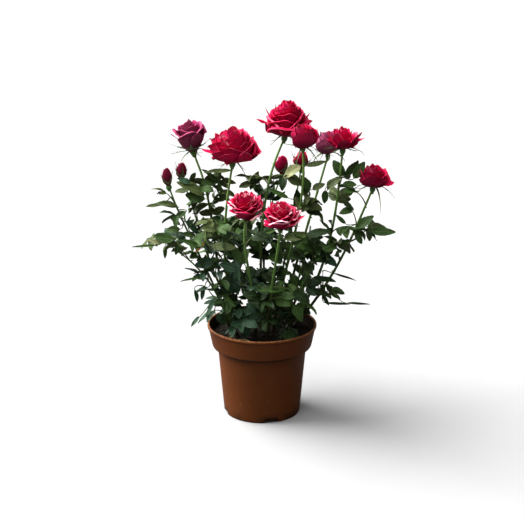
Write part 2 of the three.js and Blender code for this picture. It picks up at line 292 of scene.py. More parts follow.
    def build(
        self, name: str, materials: Sequence[bpy.types.Material], crease: float = 75.0
    ) -> bpy.types.Object:
        """Makes the object.

        Args:
            name: Its name.
            materials: Its materials, in slot order.
            crease: Edges sharper than this many degrees stay sharp.

        Returns:
            The new object, linked to the scene.
        """
        mesh = bpy.data.meshes.new(name)
        points = np.concatenate(self.points).astype(np.float32)
        corners = np.concatenate(self.corners).astype(np.int32)
        sizes = np.concatenate(self.sizes)
        mesh.vertices.add(len(points))
        mesh.vertices.foreach_set("co", points.ravel())
        mesh.loops.add(len(corners))
        mesh.loops.foreach_set("vertex_index", corners)
        mesh.polygons.add(len(sizes))
        starts = np.concatenate([[0], np.cumsum(sizes)[:-1]]).astype(np.int32)
        mesh.polygons.foreach_set("loop_start", starts)
        mesh.polygons.foreach_set("material_index", np.concatenate(self.slots).astype(np.int32))
        mesh.update(calc_edges=True)
        sheet = mesh.uv_layers.new(name=UV_NAME)
        sheet.data.foreach_set("uv", np.concatenate(self.uvs).astype(np.float32).ravel())
        mesh.polygons.foreach_set("use_smooth", np.ones(len(sizes), bool))
        mesh.validate()
        mesh.set_sharp_from_angle(angle=math.radians(crease))
        for material in materials:
            mesh.materials.append(material)
        return link(bpy.data.objects.new(name, mesh))


def link(made: bpy.types.Object) -> bpy.types.Object:
    """Puts an object in the scene."""
    bpy.context.scene.collection.objects.link(made)
    return made


def settle(piece: bpy.types.Object, slot: str, *stands_for: str) -> None:
    """Rides a piece on the plant's body, hides the nodes it stands for and says which they are.

    Args:
        piece: The finished piece.
        slot: Not used.
        stands_for: Names of the frame nodes it takes the place of.
    """
    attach(piece, BODY)
    if stands_for:
        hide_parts(*stands_for)
    LOG.info("%s: %d faces, stands for %s", piece.name, len(piece.data.polygons), stands_for or "-")


# ---------------------------------------------------------------- node boards and effects


Socket = bpy.types.NodeSocket
Colour = tuple[float, float, float, float]


def srgb(red: int, green: int, blue: int) -> Colour:
    """A display colour, each part 0 to 255, as the linear colour that nodes take."""

    def linear(part: int) -> float:
        """One part as linear light."""
        share = part / 255
        return share / 12.92 if share <= 0.04045 else ((share + 0.055) / 1.055) ** 2.4

    return (linear(red), linear(green), linear(blue), 1.0)


class Board:
    """Places and links the nodes of one node tree."""

    def __init__(self, tree: bpy.types.NodeTree) -> None:
        """Takes the tree to work on."""
        self.tree = tree

    def add(self, kind: str, inputs: dict | None = None, **settings: object) -> bpy.types.Node:
        """Adds a node.

        Args:
            kind: Its type, without the leading ShaderNode.
            inputs: Values for its sockets; a socket in place of a value is linked.
            settings: Its other settings.

        Returns:
            The node.
        """
        node = self.tree.nodes.new("ShaderNode" + kind)
        for key, value in settings.items():
            setattr(node, key, value)
        for key, value in (inputs or {}).items():
            if isinstance(value, Socket):
                self.tree.links.new(value, node.inputs[key])
            else:
                node.inputs[key].default_value = value
        return node

    def sum(self, operation: str, a: object, b: object = 0.0, c: object = 0.0) -> Socket:
        """The result of a Math node."""
        return self.add("Math", {0: a, 1: b, 2: c}, operation=operation).outputs[0]

    def times(self, a: object, b: object) -> Socket:
        """The product of two values."""
        return self.sum("MULTIPLY", a, b)

    def greater(self, a: object, b: object) -> Socket:
        """The greater of two values."""
        return self.sum("MAXIMUM", a, b)

    def stretch(self, vector: Socket, scales: tuple[float, float, float]) -> Socket:
        """A vector with each of its parts scaled."""
        return self.add("VectorMath", {0: vector, 1: scales}, operation="MULTIPLY").outputs[0]

    def noise(self, vector: Socket, scale: object, detail: float) -> Socket:
        """Plain noise."""
        return self.add("TexNoise", {"Vector": vector, "Scale": scale, "Detail": detail}).outputs[0]

    def mottle(self, vector: Socket, scale: float, contrast: float) -> Socket:
        """Soft irregular patches, from the shared effect."""
        inputs = {"Vector": vector, "Scale": scale, "Contrast": contrast}
        return self.effect(mottle_group(), inputs).outputs[0]

    def rise(self, value: Socket, start: Socket, width: float) -> Socket:
        """A straight ramp from 0 at start to 1 a width further on."""
        return self.add("MapRange", {0: value, 1: start, 2: self.sum("ADD", start, width)}).outputs[0]

    def ramp(self, value: Socket, low: object, high: float, start: float = 0.0, end: float = 1.0) -> Socket:
        """A value carried softly from low..high to start..end."""
        inputs = {0: value, 1: low, 2: high, 3: start, 4: end}
        return self.add("MapRange", inputs, interpolation_type="SMOOTHSTEP").outputs[0]

    def blend(self, share: object, a: object, b: object) -> Socket:
        """A colour a share of the way from a to b."""
        return self.add("Mix", {0: share, 6: a, 7: b}, data_type="RGBA").outputs[2]

    def sheet(self) -> Socket:
        """The pattern sheet coordinates."""
        return self.add("UVMap", uv_map=UV_NAME).outputs[0]

    def place(self) -> Socket:
        """The place in the part's frame, in metres."""
        return self.add("TexCoord").outputs["Object"]

    def effect(self, group: bpy.types.NodeTree, inputs: dict) -> bpy.types.Node:
        """Adds one of the shared effects with its own values."""
        return self.add("Group", inputs, node_tree=group)


FLOAT, VECTOR = "NodeSocketFloat", "NodeSocketVector"


def effect_group(
    name: str, inputs: dict[str, str], outputs: Sequence[str], draw: Callable[[Board, dict], dict]
) -> bpy.types.NodeTree:
    """A shader node group, made the first time it is asked for.

    Args:
        name: Its name.
        inputs: Names and socket types that go in.
        outputs: Names of the values that come out.
        draw: Fills it, given the board and the sockets to read, and returns what feeds each output.

    Returns:
        The group.
    """
    found = bpy.data.node_groups.get(name)
    if found:
        return found
    tree = bpy.data.node_groups.new(name, "ShaderNodeTree")
    for label, kind in inputs.items():
        tree.interface.new_socket(name=label, in_out="INPUT", socket_type=kind)
    for label in outputs:
        tree.interface.new_socket(name=label, in_out="OUTPUT", socket_type=FLOAT)
    source, sink = tree.nodes.new("NodeGroupInput"), tree.nodes.new("NodeGroupOutput")
    for label, value in draw(Board(tree), source.outputs).items():
        tree.links.new(value, sink.inputs[label])
    return tree


def mottle_group() -> bpy.types.NodeTree:
    """Soft irregular patches, 0 to 1, of a given size and contrast."""

    def draw(board: Board, read: dict) -> dict:
        """Noise with its middle stretched."""
        noise = board.noise(read["Vector"], read["Scale"], 4.0)
        centred = board.sum("SUBTRACT", noise, 0.5)
        spread = board.sum("MULTIPLY_ADD", centred, read["Contrast"], 0.5)
        return {"Patches": board.add("Clamp", {0: spread}).outputs[0]}

    inputs = {"Vector": VECTOR, "Scale": FLOAT, "Contrast": FLOAT}
    return effect_group("mottle", inputs, ["Patches"], draw)


def cell_group() -> bpy.types.NodeTree:
    """Where a point lies in its own cell of the sheet: across, along, and a number for the cell."""

    def draw(board: Board, read: dict) -> dict:
        """The whole part of the sheet coordinates names the cell, the rest is the place in it."""
        scaled = board.stretch(read["Sheet"], (SHEET_COLUMNS, 2.0, 1.0))
        parts = board.add("SeparateXYZ", {0: scaled})
        column = board.sum("FLOOR", parts.outputs[0])
        return {
            "Across": board.sum("FRACT", parts.outputs[0]),
            "Along": board.sum("FRACT", parts.outputs[1]),
            "Variant": board.sum("DIVIDE", column, SHEET_COLUMNS - 1),
        }

    return effect_group("sheet_cell", {"Sheet": VECTOR}, ["Across", "Along", "Variant"], draw)


def leaf_vein_group() -> bpy.types.NodeTree:
    """Midrib, side veins and margin of a leaflet, each a mask."""

    def draw(board: Board, read: dict) -> dict:
        """The side veins are a saw of slanting lines on both sides of the midrib."""
        offset = board.sum("ABSOLUTE", board.sum("SUBTRACT", read["Across"], 0.5))
        midrib = board.ramp(offset, 0.012, 0.035, 1.0, 0.0)
        slant = board.sum("MULTIPLY_ADD", offset, -0.62, read["Along"])
        wave = board.sum("PINGPONG", board.times(slant, 8.0), 0.5)
        side = board.ramp(wave, 0.0, 0.11, 1.0, 0.0)
        return {"Midrib": midrib, "Side Veins": side, "Margin": board.ramp(offset, 0.4, 0.5)}

    inputs = {"Across": FLOAT, "Along": FLOAT}
    return effect_group("leaf_veins", inputs, ["Midrib", "Side Veins", "Margin"], draw)


def petal_mark_group() -> bpy.types.NodeTree:
    """Painted rim highlight, pale flare streaks, dark foot (painted shade) and fine ribs of a petal, each a
    mask.
    """

    def draw(board: Board, read: dict) -> dict:
        """The rim, a painted highlight, runs round the free edge; the flare is dashes of it that wander
        across.
        """
        side = board.times(board.sum("ABSOLUTE", board.sum("SUBTRACT", read["Across"], 0.5)), 2.0)
        parts = {0: read["Across"], 1: read["Along"], 2: read["Variant"]}
        sideways = board.add("CombineXYZ", parts).outputs[0]
        wander = board.noise(board.stretch(sideways, (3.2, 7.0, 40.0)), 1.0, 2.0)
        nearest = board.greater(board.ramp(side, 0.8, 1.0), read["Along"])
        bent = board.sum("MULTIPLY_ADD", wander, 0.1, board.sum("SUBTRACT", nearest, 0.05))
        start = board.sum("SUBTRACT", 1.0, read["Rim Width"])
        rim = board.ramp(bent, start, 1.0)
        high = board.ramp(read["Along"], 0.45, 0.75)
        dashes = board.rise(wander, board.ramp(read["Variant"], 0.6, 0.95, 0.54, 0.4), 0.07)
        outer = board.rise(read["Along"], board.ramp(read["Variant"], 0.6, 0.95, 0.88, 0.74), 0.08)
        return {
            "Rim": board.times(rim, high),
            "Flare": board.times(outer, dashes),
            "Foot": board.ramp(read["Along"], 0.15, 0.8, 1.0, 0.0),
            "Ribs": board.noise(board.stretch(sideways, (30.0, 3.0, 9.0)), 1.0, 3.0),
        }

    inputs = {"Across": FLOAT, "Along": FLOAT, "Variant": FLOAT, "Rim Width": FLOAT}
    return effect_group("petal_marks", inputs, ["Rim", "Flare", "Foot", "Ribs"], draw)


def surface(
    board: Board, colour: Socket, rough: Socket, height: Socket, depth: float, **fixed: float
) -> None:
    """Finishes a material with its one shader.

    Args:
        board: The material's board.
        colour: What feeds Base Color.
        rough: What feeds Roughness.
        height: What feeds the bump.
        depth: The bump's distance, in metres.
        fixed: Other shader sockets, with underscores for spaces.
    """
    bump = board.add("Bump", {"Height": height, "Distance": depth, "Strength": 1.0})
    inputs = {"Base Color": colour, "Roughness": rough, "Normal": bump.outputs[0]}
    inputs.update({key.replace("_", " "): value for key, value in fixed.items()})
    shader = board.add("BsdfPrincipled", inputs)
    sink = board.tree.nodes.new("ShaderNodeOutputMaterial")
    board.tree.links.new(shader.outputs[0], sink.inputs[0])


def new_material(name: str) -> tuple[bpy.types.Material, Board]:
    """An empty node material and the board to fill it on."""
    material = bpy.data.materials.new(name)
    material.use_nodes = True
    material.node_tree.nodes.clear()
    return material, Board(material.node_tree)


# ---------------------------------------------------------------- finishes


@dataclass(frozen=True)
class PlasticFinish:
    """Moulded brown nursery plastic, splashed low down and worn pale along its rim, with painted shade
    darkening its inner wall.
    """

    rim_top: float = 0.102
    base: Colour = srgb(80, 38, 8)
    warm: Colour = srgb(90, 45, 11)
    scuff: Colour = srgb(150, 104, 70)
    soiled: Colour = srgb(50, 26, 8)
    worn_edge: Colour = srgb(140, 92, 58)
    inner_shade: Colour = srgb(16, 12, 8)
    band_width: float = 0.0022
    shade_depth: float = 0.004

    def material(self) -> bpy.types.Material:
        """The pot's material."""
        material, board = new_material("pot_plastic")
        place = board.place()
        broad = board.mottle(place, 22.0, 2.0)
        colour = board.blend(broad, self.base, self.warm)
        drips = board.noise(board.stretch(place, (420.0, 420.0, 130.0)), 1.0, 4.0)
        specks = board.add("TexVoronoi", {"Vector": place, "Scale": 230.0})
        spots = board.ramp(specks.outputs[0], 0.03, 0.1, 1.0, 0.0)
        height = board.add("SeparateXYZ", {0: place}).outputs[2]
        patchy = board.mottle(place, 46.0, 6.0)
        low_down = board.times(patchy, board.ramp(height, 0.0, 0.05, 1.0, 0.25))
        spots = board.times(spots, low_down)
        splashes = board.times(board.ramp(drips, 0.56, 0.72), low_down)
        worn = board.greater(spots, board.times(splashes, 0.25))
        colour = board.blend(worn, colour, self.scuff)
        edge = board.ramp(height, self.rim_top - self.band_width, self.rim_top)
        chipped = board.ramp(drips, 0.4, 0.6, 0.15, 0.6)
        colour = board.blend(board.times(edge, chipped), colour, self.worn_edge)
        grime = board.times(board.ramp(height, 0.0, 0.014, 1.0, 0.0), patchy)
        colour = board.blend(grime, colour, self.soiled)
        # Painted shade: the inward-facing wall darkens to near black further down below the rim.
        normal = board.add("TexCoord").outputs["Normal"]
        facing = board.add("VectorMath", {0: place, 1: normal}, operation="DOT_PRODUCT")
        inward = board.ramp(facing.outputs["Value"], -0.03, -0.01, 1.0, 0.0)
        depth_shade = board.ramp(height, self.rim_top - self.shade_depth, self.rim_top, 0.94, 0.3)
        inside = board.times(inward, depth_shade)
        colour = board.blend(inside, colour, self.inner_shade)
        relief = board.sum("MULTIPLY_ADD", spots, -0.6, board.noise(place, 900.0, 3.0))
        rough = board.ramp(broad, 0.0, 1.0, 0.5, 0.64)
        surface(board, colour, rough, relief, 0.00012, Specular_IOR_Level=0.15)
        return material


@dataclass(frozen=True)
class SoilFinish:
    """Damp, nearly black peat compost with paler fibres."""

    name: str = "potting_soil"
    dark: Colour = srgb(9, 8, 6)
    light: Colour = srgb(27, 22, 15)
    fibre: Colour = srgb(176, 164, 128)

    def material(self) -> bpy.types.Material:
        """The compost's material."""
        material, board = new_material(self.name)
        place = board.place()
        patches = board.mottle(place, 190.0, 2.6)
        colour = board.blend(patches, self.dark, self.light)
        flecks = board.add("TexVoronoi", {"Vector": place, "Scale": 420.0, "Randomness": 1.0})
        fleck = board.ramp(flecks.outputs[0], 0.06, 0.2, 1.0, 0.0)
        wide = board.mottle(place, 90.0, 6.0)
        colour = board.blend(board.times(fleck, wide), colour, self.fibre)
        rough = board.ramp(patches, 0.0, 1.0, 0.75, 0.95)
        grain = board.noise(place, 1200.0, 5.0)
        surface(board, colour, rough, grain, 0.0006, Specular_IOR_Level=0.12)
        return material


@dataclass(frozen=True)
class StemFinish:
    """Green rose wood: light at the top, darker and browner at the foot."""

    name: str = "cane_bark"
    young: Colour = srgb(100, 134, 62)
    grown: Colour = srgb(66, 98, 40)
    old: Colour = srgb(36, 44, 22)
    blush: Colour = srgb(70, 50, 32)

    def material(self) -> bpy.types.Material:
        """The stems' material; the sheet runs along them from foot to tip."""
        material, board = new_material(self.name)
        parts = board.add("SeparateXYZ", {0: board.sheet()})
        along = parts.outputs[1]
        colour = board.blend(board.ramp(along, 0.05, 0.5), self.old, self.grown)
        colour = board.blend(board.ramp(along, 0.5, 0.95), colour, self.young)
        place = board.place()
        patches = board.mottle(place, 120.0, 3.5)
        low = board.ramp(along, 0.0, 0.8, 0.65, 0.12)
        colour = board.blend(board.times(patches, low), colour, self.blush)
        fibres = board.noise(board.stretch(place, (1500.0, 1500.0, 110.0)), 1.0, 3.0)
        rough = board.ramp(patches, 0.0, 1.0, 0.38, 0.6)
        surface(board, colour, rough, fibres, 0.00025, Specular_IOR_Level=0.2)
        return material


@dataclass(frozen=True)
class LeafFinish:
    """One tone of rose leaf: its glossy upper side and its paler back."""

    name: str
    upper: Colour
    shade: Colour
    under: Colour
    vein: Colour
    gloss: float = 0.34

    def side(
        self, name: str, main: Colour, dark: Colour, vein_share: float, gloss: float
    ) -> bpy.types.Material:
        """One side of the leaf.

        Args:
            name: The material's name.
            main: Its colour.
            dark: The colour of its darker patches.
            vein_share: How strongly the veins show.
            gloss: Its least roughness.

        Returns:
            The material.
        """
        material, board = new_material(name)
        sheet = board.sheet()
        cell = board.effect(cell_group(), {"Sheet": sheet})
        veins = board.effect(
            leaf_vein_group(), {"Across": cell.outputs["Across"], "Along": cell.outputs["Along"]}
        )
        patches = board.mottle(sheet, 24.0, 2.2)
        colour = board.blend(patches, dark, main)
        tint = board.times(cell.outputs["Variant"], 0.35)
        colour = board.blend(tint, colour, dark)
        side_share = board.times(veins.outputs["Side Veins"], vein_share * 0.45)
        colour = board.blend(side_share, colour, self.vein)
        colour = board.blend(board.times(veins.outputs["Midrib"], vein_share), colour, self.vein)
        colour = board.blend(board.times(veins.outputs["Margin"], 0.25), colour, self.vein)
        sunk = board.greater(veins.outputs["Midrib"], veins.outputs["Side Veins"])
        relief = board.sum("MULTIPLY_ADD", sunk, -0.8, patches)
        rough = board.ramp(patches, 0.0, 1.0, gloss, gloss + 0.16)
        surface(board, colour, rough, relief, 0.0004, Specular_IOR_Level=0.2)
        return material

    def materials(self) -> list[bpy.types.Material]:
        """The upper side and the back, in slot order."""
        return [
            self.side(f"leaf_{self.name}_upper", self.upper, self.shade, 0.55, self.gloss),
            self.side(f"leaf_{self.name}_under", self.under, self.shade, 0.7, self.gloss + 0.25),
        ]


class LeafTone(Enum):
    """The tones of leaf that the bush carries."""

    DEEP = LeafFinish("deep", srgb(33, 58, 21), srgb(17, 35, 12), srgb(70, 90, 50), srgb(84, 108, 56))
    MID = LeafFinish("mid", srgb(62, 92, 36), srgb(38, 64, 24), srgb(84, 106, 60), srgb(108, 130, 70))
    BLUE = LeafFinish("blue", srgb(50, 82, 56), srgb(32, 58, 38), srgb(80, 102, 76), srgb(96, 120, 88))
    OLIVE = LeafFinish("olive", srgb(84, 98, 50), srgb(54, 67, 33), srgb(104, 114, 72), srgb(122, 130, 80))
    LIME = LeafFinish("lime", srgb(66, 100, 34), srgb(44, 74, 23), srgb(100, 126, 64), srgb(118, 142, 72))
    PALE = LeafFinish(
        "pale", srgb(168, 168, 118), srgb(94, 108, 60), srgb(140, 146, 104), srgb(190, 188, 146)
    )
    GOLD = LeafFinish("gold", srgb(150, 106, 30), srgb(96, 72, 22), srgb(140, 114, 54), srgb(172, 136, 60))


@dataclass(frozen=True)
class PetalFinish:
    """One tone of petal: its bright face, its darker back and its pale rim, a painted highlight."""

    name: str
    face: Colour
    face_shade: Colour
    back: Colour
    back_shade: Colour
    # Pale colour of the painted rim highlight; the flare streaks use it too.
    rim: Colour = srgb(246, 160, 186)
    rim_highlight_share: float = 0.06
    flare_share: float = 0.2
    rim_width: float = 0.08

    def side(self, name: str, main: Colour, dark: Colour, rim_scale: float) -> bpy.types.Material:
        """One side of the petal.

        Args:
            name: The material's name.
            main: Its colour towards the rim.
            dark: Its colour towards the foot, painted shade deep in the bloom, and in its ribs.
            rim_scale: How much of the painted rim highlight and of the flare this side has.

        Returns:
            The material.
        """
        material, board = new_material(name)
        cell = board.effect(cell_group(), {"Sheet": board.sheet()})
        marks = board.effect(
            petal_mark_group(),
            {
                "Across": cell.outputs["Across"],
                "Along": cell.outputs["Along"],
                "Variant": cell.outputs["Variant"],
                "Rim Width": self.rim_width,
            },
        )
        ribs = marks.outputs["Ribs"]
        colour = board.blend(board.ramp(ribs, 0.3, 0.7, 0.62, 1.0), dark, main)
        # Painted shade: each petal darkens towards its foot, deep inside the bloom.
        colour = board.blend(board.times(marks.outputs["Foot"], 0.85), colour, dark)
        # Painted highlight: the pale rim along the free edge; the flare streaks share its colour.
        rim = board.times(marks.outputs["Rim"], self.rim_highlight_share * rim_scale)
        flare = board.times(marks.outputs["Flare"], self.flare_share * rim_scale)
        colour = board.blend(board.greater(rim, flare), colour, self.rim)
        rough = board.ramp(ribs, 0.3, 0.7, 0.48, 0.62)
        surface(board, colour, rough, ribs, 0.0002, Specular_IOR_Level=0.12)
        return material

    def materials(self) -> list[bpy.types.Material]:
        """The face and the back, in slot order."""
        return [
            self.side(f"petal_{self.name}_face", self.face, self.face_shade, 1.0),
            self.side(f"petal_{self.name}_back", self.back, self.back_shade, 0.8),
        ]


class PetalTone(Enum):
    """The tones of petal that the bush carries."""

    CRIMSON = PetalFinish(
        "crimson", srgb(200, 4, 70), srgb(158, 0, 48), srgb(188, 8, 70), srgb(116, 2, 44)
    )
    BRUSHED = PetalFinish(
        "brushed",
        srgb(200, 6, 70),
        srgb(158, 0, 48),
        srgb(186, 12, 70),
        srgb(116, 2, 44),
        rim=srgb(248, 176, 196),
        rim_highlight_share=0.08,
        flare_share=0.42,
    )
    STREAKED = PetalFinish(
        "streaked",
        srgb(206, 6, 72),
        srgb(166, 0, 50),
        srgb(190, 12, 72),
        srgb(116, 2, 44),
        rim=srgb(255, 200, 214),
        rim_highlight_share=0.08,
        flare_share=0.85,
    )
    WINE = PetalFinish(
        "wine", srgb(206, 2, 68), srgb(156, 0, 46), srgb(160, 12, 60), srgb(90, 4, 38), rim_highlight_share=0.05
    )
    # Painted sheen: crimson petals given a grey-mauve cast and a broad pale rim for the backlight and sheen
    # on the rear blooms.
    MAUVE = PetalFinish(
        "painted_sheen",
        srgb(152, 36, 84),
        srgb(122, 20, 62),
        srgb(158, 70, 104),
        srgb(116, 46, 74),
        rim=srgb(204, 140, 166),
        rim_highlight_share=0.16,
    )
    DUSK = PetalFinish(
        "dusk", srgb(150, 8, 54), srgb(112, 2, 40), srgb(116, 14, 48), srgb(72, 8, 32), rim_highlight_share=0.05
    )


# ---------------------------------------------------------------- pot and soil


def lathe(buffer: MeshBuffer, outline: Sequence[tuple[float, float]], sides: int) -> None:
    """Turns a closed outline round the upright axis.

    Args:
        buffer: Where the mesh goes.
        outline: Radius and height of each corner; it starts and ends on the axis.
        sides: How many steps round.
    """
    turn = np.linspace(0, 2 * math.pi, sides, endpoint=False)
    radii, heights = np.array(outline[1:-1]).T
    x, y = (radii[:, None] * f(turn) for f in (np.cos, np.sin))
    rings = np.stack([x, y, np.repeat(heights[:, None], sides, 1)], -1)
    buffer.add_rings(rings, np.array([[0, 0, outline[0][1]], [0, 0, outline[-1][1]]]))


def rounded(outline: Sequence[tuple[float, float, float]], steps: int = 6) -> list[tuple[float, float]]:
    """An outline with its corners rounded off.

    Args:
        outline: Radius, height and corner radius of each corner, in order.
        steps: How many pieces each round corner is cut into.

    Returns:
        Radius and height of each point.
    """
    made = []
    for i, (r, z, fillet) in enumerate(outline):
        here = np.array([r, z])
        if fillet == 0 or i in (0, len(outline) - 1):
            made.append((r, z))
            continue
        before = np.array(outline[i - 1][:2]) - here
        after = np.array(outline[i + 1][:2]) - here
        reach = min(fillet, 0.45 * np.linalg.norm(before), 0.45 * np.linalg.norm(after))
        curve = bezier([here + unit(before) * reach, here, here + unit(after) * reach], steps)
        made.extend((float(a), float(b)) for a, b in curve)
    return made


@dataclass
class Pot:
    """The brown nursery pot with its stepped rim band and drain notches."""

    sides: int = 144
    wall: float = 0.0015
    floor: float = 0.0022
    foot_radius: float = 0.0418
    foot_recess: float = 0.0012
    waist_radius: float = 0.0485
    waist_height: float = 0.074
    band_foot_height: float = 0.0782
    band_foot_radius: float = 0.0547
    lip: float = 0.0008
    notches: int = 4
    notch_turn: float = 15.0
    notch_width: float = 0.016
    notch_height: float = 0.0042
    foot_band: float = 0.0075
    notch_inner: float = 0.034
    notch_outer: float = 0.046
    node: str = "pot"

    def outline(self) -> list[tuple[float, float]]:
        """Radius and height of the wall's section, from the underside round to the inside floor."""
        low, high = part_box(self.node)
        rim, top = (high.x - low.x) / 2, high.z
        wall, lip = self.wall, self.lip
        band_radius = mix(self.foot_radius, self.waist_radius, self.foot_band / self.waist_height)
        corners = [
            (0, self.foot_recess, 0),
            (self.foot_radius - 0.006, self.foot_recess, 0.0008),
            (self.foot_radius - 0.005, 0, 0.0006),
            (self.foot_radius, 0, 0.0022),
            (band_radius, self.foot_band, 0),
            (self.waist_radius, self.waist_height, 0.0012),
            (self.band_foot_radius - 0.0006, self.band_foot_height - 0.0006, 0.0012),
            (self.band_foot_radius, self.band_foot_height + 0.0006, 0.0008),
            (rim - lip - 0.0004, top - 0.0036, 0.0006),
            (rim, top - 0.0028, 0.0009),
            (rim, top, 0.0011),
            (rim - wall - lip, top, 0.0009),
            (rim - wall - lip - 0.0002, top - 0.003, 0.0006),
            (self.band_foot_radius - wall, self.band_foot_height, 0.001),
            (self.waist_radius - wall, self.waist_height - 0.001, 0.001),
            (self.foot_radius - wall + 0.0008, self.foot_band, 0),
            (self.foot_radius - wall + 0.0002, self.floor, 0.002),
            (0, self.floor, 0),
        ]
        return rounded(corners)

    def cut_notches(self, pot: bpy.types.Object) -> None:
        """Cuts the drain notches out of the foot."""
        cutter = MeshBuffer()
        for i in range(self.notches):
            out, side = spoke(math.radians(i * 360 / self.notches + self.notch_turn))
            section = [(-1, -0.6), (-0.96, 0.7), (-0.84, 0.95), (0.84, 0.95), (0.96, 0.7), (1, -0.6)]
            rows = [
                [out * r + side * x * self.notch_width / 2 + UP * z * self.notch_height for x, z in section]
                for r in (self.notch_inner, self.notch_outer)
            ]
            ring = np.array(rows)
            first = cutter.add_points(ring)
            count = len(section)
            numbers = first + np.arange(2 * count).reshape(2, count)
            walls = np.stack(
                [numbers[0], np.roll(numbers[0], -1), np.roll(numbers[1], -1), numbers[1]], -1
            )[:, ::-1]
            cutter.add_faces(walls, np.zeros((count, 4, 2)))
            cutter.add_faces(numbers[:1], np.zeros((1, count, 2)))
            cutter.add_faces(numbers[1:, ::-1], np.zeros((1, count, 2)))
        tool = cutter.build("notch_cutter", [])
        cut = pot.modifiers.new("notches", "BOOLEAN")
        cut.operation, cut.solver, cut.object = "DIFFERENCE", "EXACT", tool
        graph = bpy.context.evaluated_depsgraph_get()
        mesh = bpy.data.meshes.new_from_object(pot.evaluated_get(graph))
        pot.modifiers.clear()
        pot.data = mesh
        bpy.data.objects.remove(tool)

    def build(self) -> None:
        """Makes and dresses the pot."""
        buffer = MeshBuffer()
        lathe(buffer, self.outline(), self.sides)
        finish = PlasticFinish(rim_top=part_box(self.node)[1].z)
        pot = buffer.build("nursery_pot", [finish.material()], 35)
        self.cut_notches(pot)
        settle(pot, "pot_plastic", self.node)


@dataclass
class Soil:
    """The plug of compost, uneven on top, with crumbs, fibres and roots lying on it."""

    node: str = "soil"
    rings: int = 30
    sides: int = 120
    depth: float = 0.011
    sag: float = 0.0012
    lump: float = 0.0008
    grit: float = 0.00022
    crumbs: int = 1500
    crumb_spread: float = 0.97
    crumb_size: tuple[float, float] = (0.0004, 0.0014)
    fibres: int = 260
    fibre_spread: float = 0.93
    fibre_lift: float = 0.0005
    root_loops: tuple[tuple[float, float, float], ...] = ((-116, 0.016, 0.006), (-142, 0.009, 0.004))
    root_place: float = 0.72
    root_depth: float = 0.004
    seed: int = 11
    radius: float = field(init=False)
    top: float = field(init=False)
    rng: np.random.Generator = field(init=False)

    def __post_init__(self) -> None:
        """Reads the plug's size from its node."""
        low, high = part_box(self.node)
        self.radius, self.top = (high.x - low.x) / 2, high.z
        self.rng = np.random.default_rng(self.seed)

    def height(self, x: np.ndarray, y: np.ndarray) -> np.ndarray:
        """Height of the compost at a place."""
        far = np.hypot(x, y) / self.radius
        lumps = (
            0.5 * np.sin(x * 310 + 1.3) * np.cos(y * 270 + 0.4)
            + 0.3 * np.sin(x * 700 + y * 520)
            + 0.2 * np.sin(y * 1200 - x * 900 + 2.0)
        )
        return self.top - self.sag - self.sag * far**2 + self.lump * lumps

    def spot(self, share: float) -> np.ndarray:
        """A random place on the compost, within a share of its radius."""
        far = self.radius * share * math.sqrt(self.rng.random())
        turn = self.rng.random() * 2 * math.pi
        x, y = far * math.cos(turn), far * math.sin(turn)
        return np.array([x, y, float(self.height(np.array(x), np.array(y)))])

    def build(self) -> None:
        """Makes the plug and what lies on it."""
        self.build_plug()
        self.build_crumbs()
        self.build_roots()

    def build_plug(self) -> None:
        """Makes the uneven plug."""
        buffer = MeshBuffer()
        turn = np.linspace(0, 2 * math.pi, self.sides, endpoint=False)
        shares = np.concatenate([[0.94, 0.95], np.linspace(1, 0.02, self.rings)])
        x, y = (self.radius * shares[:, None] * f(turn)[None, :] for f in (np.cos, np.sin))
        z = self.height(x, y) + self.rng.normal(0, self.grit, x.shape)
        low = self.top - self.depth
        z[0] = low
        z[1] = low + 0.001
        ends = np.array([[0, 0, low], [0, 0, float(z[-1].mean())]])
        buffer.add_rings(np.stack([x, y, z], -1), ends)
        plug = buffer.build("soil_plug", [SoilFinish().material()], 60)
        settle(plug, "potting_soil", self.node)

    def build_crumbs(self) -> None:
        """Makes the crumbs and fibres."""
        buffer, rng = MeshBuffer(), self.rng
        for _ in range(self.crumbs):
            place = self.spot(self.crumb_spread)
            size = mix(*self.crumb_size, rng.random() ** 3)
            centre = place + UP * size * 0.25
            lean = unit(rng.normal(0, 1, 3))
            path = centre + lean * size * np.array([-0.9, -0.45, 0.3, 0.85])[:, None]
            radii = size * rng.uniform(0.5, 1.0, (4, 5)) * np.array([0.5, 1, 0.95, 0.4])[:, None]
            buffer.add_tube(path, radii, 5)
        for _ in range(self.fibres):
            centre = self.spot(self.fibre_spread) + UP * self.fibre_lift
            way = unit(np.array([*rng.normal(0, 1, 2), rng.normal(0, 0.1)]))
            bend = np.array([-way[1], way[0], 0.4]) * rng.normal(0, 0.0016)
            half = rng.uniform(0.002, 0.005)
            path = bezier([centre - way * half, centre + bend, centre + way * half], 5)
            buffer.add_tube(path, np.full(5, rng.uniform(0.00015, 0.0003)), 4)
        finish = SoilFinish("soil_crumbs", srgb(13, 11, 8), srgb(40, 33, 23))
        crumbs = buffer.build("soil_crumbs", [finish.material()], 50)
        settle(crumbs, "potting_soil")

    def build_roots(self) -> None:
        """Makes the pale roots that loop over the compost in front of the canes."""
        buffer = MeshBuffer()
        for bearing, reach, lift in self.root_loops:
            out, side = spoke(math.radians(bearing))
            middle = out * self.radius * self.root_place
            ends = [middle + side * x * reach + out * 0.12 * x * reach for x in (-1.0, -0.4, 0.5, 1.0)]
            rises = (-self.root_depth, lift, 0.6 * lift, -self.root_depth)
            path = bezier([end + UP * (self.top + rise) for end, rise in zip(ends, rises)], 18)
            buffer.add_tube(path, np.linspace(0.00055, 0.0003, 18), 6)
        finish = StemFinish(
            "pale_root", srgb(168, 160, 108), srgb(150, 146, 96), srgb(120, 112, 74), srgb(140, 112, 76)
        )
        settle(buffer.build("surface_roots", [finish.material()]), "potting_soil")


# ---------------------------------------------------------------- canes


